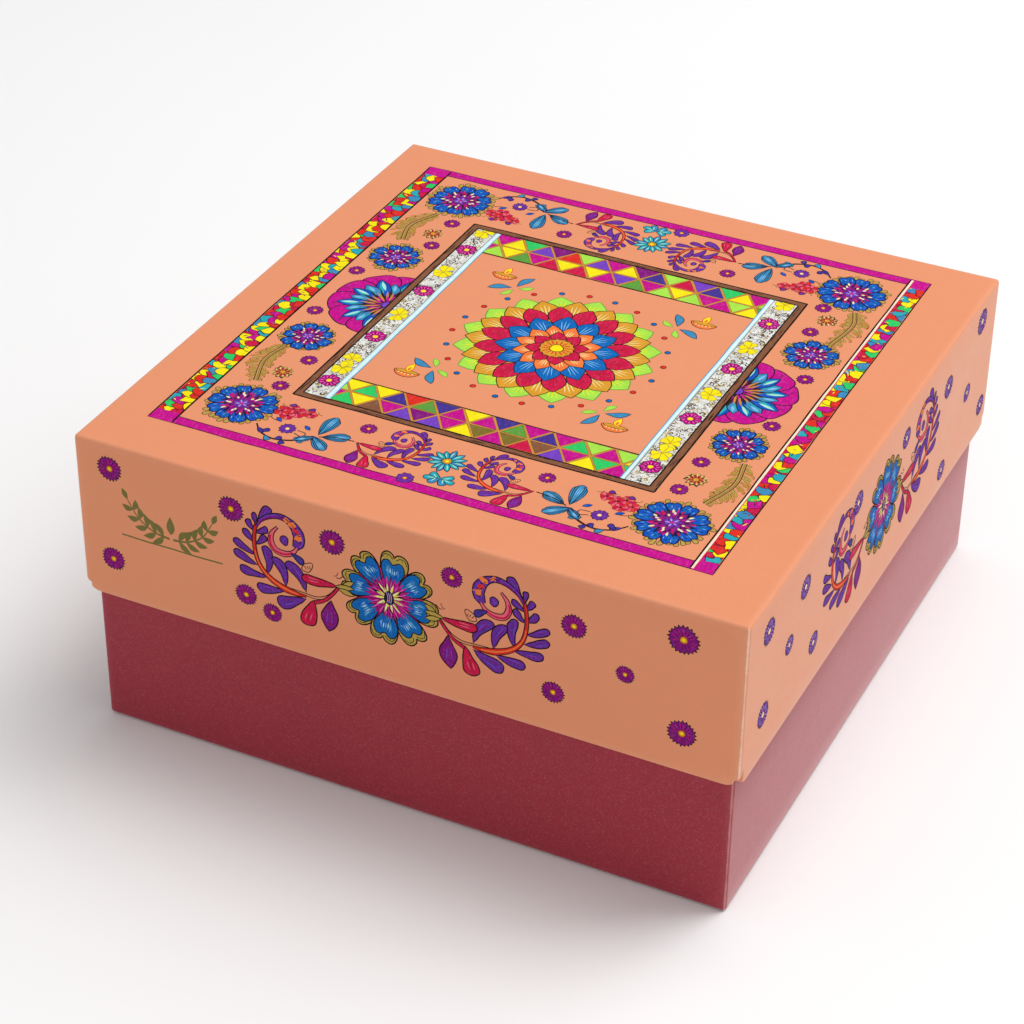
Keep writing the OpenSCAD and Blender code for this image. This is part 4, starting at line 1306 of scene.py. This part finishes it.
def paint_finish():
    """Opaque paint: the ink's colour, mottled by brush strokes, thin in places, and a little glossy."""
    material, shading, shader, place = new_finish("brushed paint")
    ink = shading.add("ShaderNodeAttribute", {}, attribute_name="ink").outputs["Color"]
    stretch = shading.add("ShaderNodeMapping", {"Vector": place, "Rotation": (0.5, 0.6, 0.6), "Scale": (1.0, 0.35, 1.0)})
    brush = shading.noise(stretch.outputs[0], 1500.0, 3.0, 0.6)
    pool = shading.noise(place, 420.0, 3.0)
    deep = shading.mix(1.0, ink, (0.9, 0.89, 0.9), "MULTIPLY")
    pale = shading.mix(0.07, ink, (1.0, 0.95, 0.9))
    body = shading.mix(shading.span(pool, 0.36, 0.68), deep, ink)
    body = shading.mix(shading.span(brush, 0.5, 0.78, 0.0, 0.7), body, pale)
    rough = shading.span(brush, 0.3, 0.7, 0.56, 0.74)
    finish_with(shading, shader, body, rough, shading.bump(brush, 0.2, 0.00005))
    shader.inputs["Specular IOR Level"].default_value = 0.06
    return material


def board_finish():
    """Greyboard: pulp speckled with dark and pale fibres, layered at its cut edges."""
    material, shading, shader, place = new_finish("greyboard")
    pulp = shading.noise(place, 700.0, 5.0, 0.65)
    fleck = shading.noise(place, 2600.0, 2.0, 0.5)
    stretch = shading.add("ShaderNodeMapping", {"Vector": place, "Scale": (0.2, 1.0, 1.0)})
    fibre = shading.noise(stretch.outputs[0], 2100.0, 3.0, 0.6)
    body = shading.mix(shading.span(pulp, 0.35, 0.65), linear("#948C80"), linear("#ADA598"))
    body = shading.mix(shading.span(fleck, 0.62, 0.72), body, linear("#6A6258"))
    body = shading.mix(shading.span(fibre, 0.64, 0.76, 0.0, 0.7), body, linear("#CFC8BA"))
    height = shading.maths("ADD", shading.maths("MULTIPLY", pulp, 0.6), shading.maths("MULTIPLY", fibre, 0.4))
    finish_with(shading, shader, body, shading.span(pulp, 0.3, 0.7, 0.82, 0.95), shading.bump(height, 0.4, 0.0001))
    return material


def tape_finish():
    """Gummed kraft tape: brown paper with calender lines and dark fibres, and a slight shine from the gum."""
    material, shading, shader, place = new_finish("gummed tape")
    stretch = shading.add("ShaderNodeMapping", {"Vector": place, "Scale": (1.0, 1.0, 0.12)})
    lines = shading.noise(stretch.outputs[0], 1700.0, 4.0, 0.6)
    cloud = shading.noise(place, 180.0, 3.0)
    body = shading.mix(shading.span(lines, 0.3, 0.7), linear("#A17E52"), linear("#C9A473"))
    body = shading.mix(shading.span(cloud, 0.4, 0.7, 0.0, 0.35), body, linear("#8A6A44"))
    finish_with(shading, shader, body, shading.span(cloud, 0.3, 0.7, 0.5, 0.66), shading.bump(lines, 0.3, 0.00008))
    return material


def lining_finish(colour):
    """Ivory lining paper: paper grain, soft clouding and a few glue ripples."""
    material, shading, shader, place = new_finish("lining paper")
    grain = shading.add("ShaderNodeGroup", {}, node_tree=paper_grain_group())
    shading.tree.links.new(place, grain.inputs["Place"])
    grain.inputs["Tooth scale"].default_value = 1500.0
    ripple = shading.noise(place, 34.0, 1.0)
    body = shading.mix(grain.outputs["Mottle"], tinted(colour, 0.93), tinted(colour, 1.04))
    fine = shading.bump(grain.outputs["Height"], 0.3, 0.00008)
    soft = shading.add("ShaderNodeBump", {"Height": ripple, "Strength": 0.3, "Distance": 0.0006, "Normal": fine})
    finish_with(shading, shader, body, shading.span(grain.outputs["Mottle"], 0, 1, 0.6, 0.72), soft.outputs[0])
    return material


def divider_finish(colour, thin_axis):
    """Divider card: metallic gold faces with a fine brushed grain, and a brown core where it is cut. A face
    is where the normal lies along the strip's thin axis."""
    material, shading, shader, place = new_finish("divider card " + "XYZ"[thin_axis])
    normal = shading.add("ShaderNodeNewGeometry", {}).outputs["Normal"]
    parts = shading.add("ShaderNodeSeparateXYZ", {0: normal})
    face = shading.span(shading.maths("ABSOLUTE", parts.outputs[thin_axis]), 0.6, 0.8)
    stretch = shading.add("ShaderNodeMapping", {"Vector": place, "Scale": (0.15, 0.15, 1.0)})
    brushed = shading.noise(stretch.outputs[0], 2300.0, 3.0, 0.6)
    cloud = shading.noise(place, 90.0, 3.0)
    gold = shading.mix(shading.span(cloud, 0.3, 0.7), tinted(colour, 0.94), tinted(colour, 1.06))
    pulp = shading.noise(place, 1600.0, 4.0, 0.65)
    core = shading.mix(shading.span(pulp, 0.3, 0.7), linear("#8F6E47"), linear("#C4A274"))
    finish_with(shading, shader, shading.mix(face, core, gold),
                shading.span(brushed, 0.3, 0.7, 0.34, 0.5), shading.bump(brushed, 0.2, 0.00005))
    shading.tree.links.new(shading.maths("MULTIPLY", face, 0.45), shader.inputs["Metallic"])
    return material


def greaseproof_finish():
    """Greaseproof paper: smooth, faintly cloudy and a little see-through."""
    material, shading, shader, place = new_finish("greaseproof paper")
    cloud = shading.noise(place, 320.0, 4.0)
    body = shading.mix(shading.span(cloud, 0.35, 0.65), linear("#E6E0CE"), linear("#F6F3E8"))
    finish_with(shading, shader, body, shading.span(cloud, 0.3, 0.7, 0.3, 0.42), shading.bump(cloud, 0.2, 0.0001))
    shader.inputs["Subsurface Weight"].default_value = 0.1
    shader.inputs["Subsurface Radius"].default_value = (0.001, 0.001, 0.0008)
    shader.inputs["Subsurface Scale"].default_value = 0.3
    return material


def dress(prefix, material):
    """Gives a finish to each frame node whose name starts with the prefix."""
    for name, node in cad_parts.items():
        if name.startswith(prefix):
            node.data.materials.clear()
            node.data.materials.append(material)


# The operators


class SWEETBOX_OT_stage(bpy.types.Operator):
    """Makes the floor, the lights and the camera"""

    bl_idname = "sweetbox.stage"
    bl_label = "Studio"

    def execute(self, context):
        scene = context.scene
        settings = scene.sweetbox_stage
        scene.view_settings.view_transform = "Standard"
        world = bpy.data.worlds.new("studio")
        scene.world = world
        world.use_nodes = True
        background = world.node_tree.nodes["Background"]
        background.inputs["Color"].default_value = (1.0, 1.0, 1.0, 1.0)
        background.inputs["Strength"].default_value = settings.sky
        self.floor()
        self.camera(scene, settings)
        self.lamp("window light", (1.0, 1.0, 1.685), 1.2, settings.key, (1.0, 1.0, 1.0))
        self.lamp("overhead light", (0.4, 0.4, 2.125), 1.2, settings.key * 1.29, (1.0, 1.0, 1.0))
        self.lamp("fill light", (0.0, -1.99, 0.93), 1.2, settings.key * 0.35, (1.0, 1.0, 1.0))
        return {"FINISHED"}

    def floor(self):
        """A flat disc of radius 3.5 m: one polygon of 64 points round the origin."""
        a = np.linspace(0, 2 * np.pi, 64, endpoint=False)
        points = np.column_stack([3.5 * np.cos(a), 3.5 * np.sin(a), np.zeros(64)])
        mesh = bpy.data.meshes.new("floor")
        mesh.from_pydata(points.tolist(), [], [list(range(64))])
        material, shading, shader, place = new_finish("studio floor")
        cloud = shading.noise(place, 3.0, 2.0)
        body = shading.mix(cloud, (0.9, 0.9, 0.9), (0.93, 0.93, 0.93))
        finish_with(shading, shader, body, 0.65)
        mesh.materials.append(material)
        floor = bpy.data.objects.new("floor", mesh)
        bpy.context.scene.collection.objects.link(floor)

    def camera(self, scene, settings):
        """A camera at an azimuth, an elevation and a distance from its target, turned by the roll."""
        az, el, roll = settings.azimuth, settings.elevation, settings.roll
        back = Vector((math.sin(az) * math.cos(el), -math.cos(az) * math.cos(el), math.sin(el)))
        level = Vector((math.cos(az), math.sin(az), 0.0))
        upright = back.cross(level)
        right = math.cos(roll) * level + math.sin(roll) * upright
        up = -math.sin(roll) * level + math.cos(roll) * upright
        data = bpy.data.cameras.new("camera")
        data.sensor_width = 36.0
        data.lens = settings.lens
        data.clip_start = 0.01
        data.clip_end = 50.0
        camera = bpy.data.objects.new("camera", data)
        turn = Matrix((right, up, back)).transposed().to_4x4()
        target = Vector((-0.0064056, -0.0170136, 0.051))
        camera.matrix_world = Matrix.Translation(target + back * settings.distance) @ turn
        scene.collection.objects.link(camera)
        scene.camera = camera

    def lamp(self, name, place, size, power, colour):
        """A square soft light that faces the box."""
        data = bpy.data.lights.new(name, "AREA")
        data.size = size
        data.energy = power
        data.color = colour
        lamp = bpy.data.objects.new(name, data)
        lamp.location = place
        lamp.rotation_euler = (Vector((0, 0, 0.05)) - Vector(place)).to_track_quat("-Z", "Y").to_euler()
        bpy.context.scene.collection.objects.link(lamp)


class SWEETBOX_OT_boards(bpy.types.Operator):
    """Gives the greyboard panels and the gummed corner tapes their finishes"""

    bl_idname = "sweetbox.boards"
    bl_label = "Boards and tapes"

    def execute(self, context):
        board, tape = board_finish(), tape_finish()
        for prefix in ("tray_floor_board", "tray_board_", "lid_top_board", "lid_board_"):
            dress(prefix, board)
        for prefix in ("tray_corner_tapes", "lid_corner_tapes"):
            dress(prefix, tape)
        return {"FINISHED"}


class SWEETBOX_OT_inside(bpy.types.Operator):
    """Gives the linings and dividers their finishes, and lays the crinkled greaseproof sheet"""

    bl_idname = "sweetbox.inside"
    bl_label = "Linings and dividers"

    def execute(self, context):
        settings = context.scene.sweetbox_inside
        lining = lining_finish(settings.lining_colour)
        dress("tray_lining", lining)
        dress("lid_lining", lining)
        dress("divider_long_", divider_finish(settings.card_colour, 1))
        dress("divider_cross_", divider_finish(settings.card_colour, 0))
        self.greaseproof(settings)
        return {"FINISHED"}

    def greaseproof(self, settings):
        """The sheet as a grid of x and y. Its height is a sum of sines at odd angles, taken as its absolute
        value for sharp creases, times a window that is 0 under the dividers and at the edges."""
        low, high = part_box("greaseproof_sheet")
        count = 91
        x, y = np.meshgrid(np.linspace(low.x, high.x, count), np.linspace(low.y, high.y, count), indexing="ij")
        waves = ((37, 11, 0.3), (-19, 43, 1.7), (71, -29, 4.1), (53, 67, 2.2), (-97, 31, 0.9))
        crease = sum(np.abs(np.sin(a * x * 3 + b * y * 3 + c)) / (1 + n) for n, (a, b, c) in enumerate(waves))
        cell = (high.x - low.x) / 3 + 0.7 * MM
        window = np.ones_like(x)
        for plan in (x, y):
            from_strip = np.abs(np.abs(plan) - cell / 2)
            from_edge = high.x - np.abs(plan)
            gap = np.minimum(from_strip, from_edge)
            window *= np.clip((gap - 1.2 * MM) / (9 * MM), 0, 1)
        z = high.z + settings.crinkle * window * crease
        points = np.stack([x, y, z], -1).reshape(-1, 3)
        r, c = np.meshgrid(np.arange(count - 1), np.arange(count - 1), indexing="ij")
        here = (r * count + c).ravel()
        faces = np.column_stack([here, here + count, here + count + 1, here + 1])
        piece = new_piece("greaseproof_crinkled", points, faces, greaseproof_finish(), "tray")
        piece.data.shade_smooth()
        wall = piece.modifiers.new("Paper", "SOLIDIFY")
        wall.thickness = high.z - low.z
        wall.offset = -1
        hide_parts("greaseproof_sheet")


class SWEETBOX_OT_tray_paper(bpy.types.Operator):
    """Folds the maroon paper round the tray"""

    bl_idname = "sweetbox.tray_paper"
    bl_label = "Tray paper"

    def execute(self, context):
        settings = context.scene.sweetbox_paper
        finish = wrapping_paper("maroon wrapping paper", settings.tray_colour, linear("#D08A88"), settings,
                                1500.0, 0.08, 0.5, 0.55, 1.0, 0.16)
        grid, folds = tray_paper_grid(settings.fold_radius)
        piece = paper_piece("tray_wrapping", grid, False, folds, finish, "tray")
        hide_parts("tray_wrap")
        dress("tray_under_paper", finish)
        return {"FINISHED"}


class SWEETBOX_OT_lid_paper(bpy.types.Operator):
    """Folds the peach paper round the lid"""

    bl_idname = "sweetbox.lid_paper"
    bl_label = "Lid paper"

    def execute(self, context):
        settings = context.scene.sweetbox_paper
        finish = wrapping_paper("peach wrapping paper", settings.lid_colour, linear("#FBD3BC"), settings,
                                2600.0, 0.015, 0.46, 0.2, 0.35, 0.03)
        grid, folds = lid_paper_grid(settings.fold_radius)
        piece = paper_piece("lid_wrapping", grid, True, folds, finish, "lid")
        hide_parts("lid_wrap")
        return {"FINISHED"}


def shared_paint():
    """The paint's material, made once."""
    return bpy.data.materials.get("brushed paint") or paint_finish()


class SWEETBOX_OT_top_prints(bpy.types.Operator):
    """Paints the top of the lid: border, garden, frame and medallion"""

    bl_idname = "sweetbox.top_prints"
    bl_label = "Top prints"

    def execute(self, context):
        settings = context.scene.sweetbox_print
        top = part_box("lid_wrap")[1].z
        origin = (settings.offset[0], settings.offset[1], top)
        sheets = {
            "border": border_print(settings),
            "garden_back": garden_print(settings, 0.0, 83.0),
            "garden_front": garden_print(settings, -82.7, 0.0),
            "frame_back": frame_print(settings, 0.0, 60.0),
            "frame_front": frame_print(settings, -60.0, 0.0),
            "medallion": medallion_print(settings),
        }
        for name, sheet in sheets.items():
            print_piece("lid_print_" + name, sheet, origin, (1, 0, 0), (0, 1, 0), settings, shared_paint())
        return {"FINISHED"}


class SWEETBOX_OT_skirt_prints(bpy.types.Operator):
    """Paints the four skirts of the lid"""

    bl_idname = "sweetbox.skirt_prints"
    bl_label = "Skirt prints"

    def execute(self, context):
        settings = context.scene.sweetbox_print
        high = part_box("lid_wrap")[1]
        long_side = (FRONT_ROSETTES, FRONT_ROSETTE_INKS, (-0.9, -24.0), True)
        plain_side = (SIDE_ROSETTES, SIDE_ROSETTE_INKS, (4.0, -24.3), False)
        sides = (
            ("front", (0, -high.y), (1, 0, 0), 11, long_side),
            ("right", (high.x, 0), (0, 1, 0), 12, plain_side),
            ("back", (0, high.y), (-1, 0, 0), 13, long_side),
            ("left", (-high.x, 0), (0, -1, 0), 14, plain_side),
        )
        for name, (x, y), right, seed, pattern in sides:
            sheet = skirt_print(settings, seed, *pattern)
            print_piece("lid_print_" + name, sheet, (x, y, high.z), right, (0, 0, 1), settings, shared_paint())
        return {"FINISHED"}


class SWEETBOX_PT_panel(bpy.types.Panel):
    """Lists the box's pieces in the sidebar"""

    bl_idname = "SWEETBOX_PT_panel"
    bl_label = "Sweet Box"
    bl_space_type = "VIEW_3D"
    bl_region_type = "UI"
    bl_category = "Sweet Box"

    def draw(self, context):
        for operator in OPERATORS:
            self.layout.operator(operator.bl_idname)
        for group in ("sweetbox_paper", "sweetbox_print", "sweetbox_inside", "sweetbox_stage"):
            settings = getattr(context.scene, group)
            for name in settings.__annotations__:
                self.layout.prop(settings, name)


OPERATORS = (
    SWEETBOX_OT_stage,
    SWEETBOX_OT_boards,
    SWEETBOX_OT_inside,
    SWEETBOX_OT_tray_paper,
    SWEETBOX_OT_lid_paper,
    SWEETBOX_OT_top_prints,
    SWEETBOX_OT_skirt_prints,
)
GROUPS = {
    "sweetbox_paper": PaperSettings,
    "sweetbox_print": PrintSettings,
    "sweetbox_inside": InsideSettings,
    "sweetbox_stage": StageSettings,
}


def register():
    for cls in (*GROUPS.values(), *OPERATORS, SWEETBOX_PT_panel):
        bpy.utils.register_class(cls)
    for name, group in GROUPS.items():
        setattr(bpy.types.Scene, name, PointerProperty(type=group))


def unregister():
    for name in GROUPS:
        delattr(bpy.types.Scene, name)
    for cls in reversed((*GROUPS.values(), *OPERATORS, SWEETBOX_PT_panel)):
        bpy.utils.unregister_class(cls)


def main():
    """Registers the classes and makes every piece."""
    register()
    for operator in OPERATORS:
        group, name = operator.bl_idname.split(".")
        getattr(getattr(bpy.ops, group), name)()


if __name__ == "__main__":
    main()
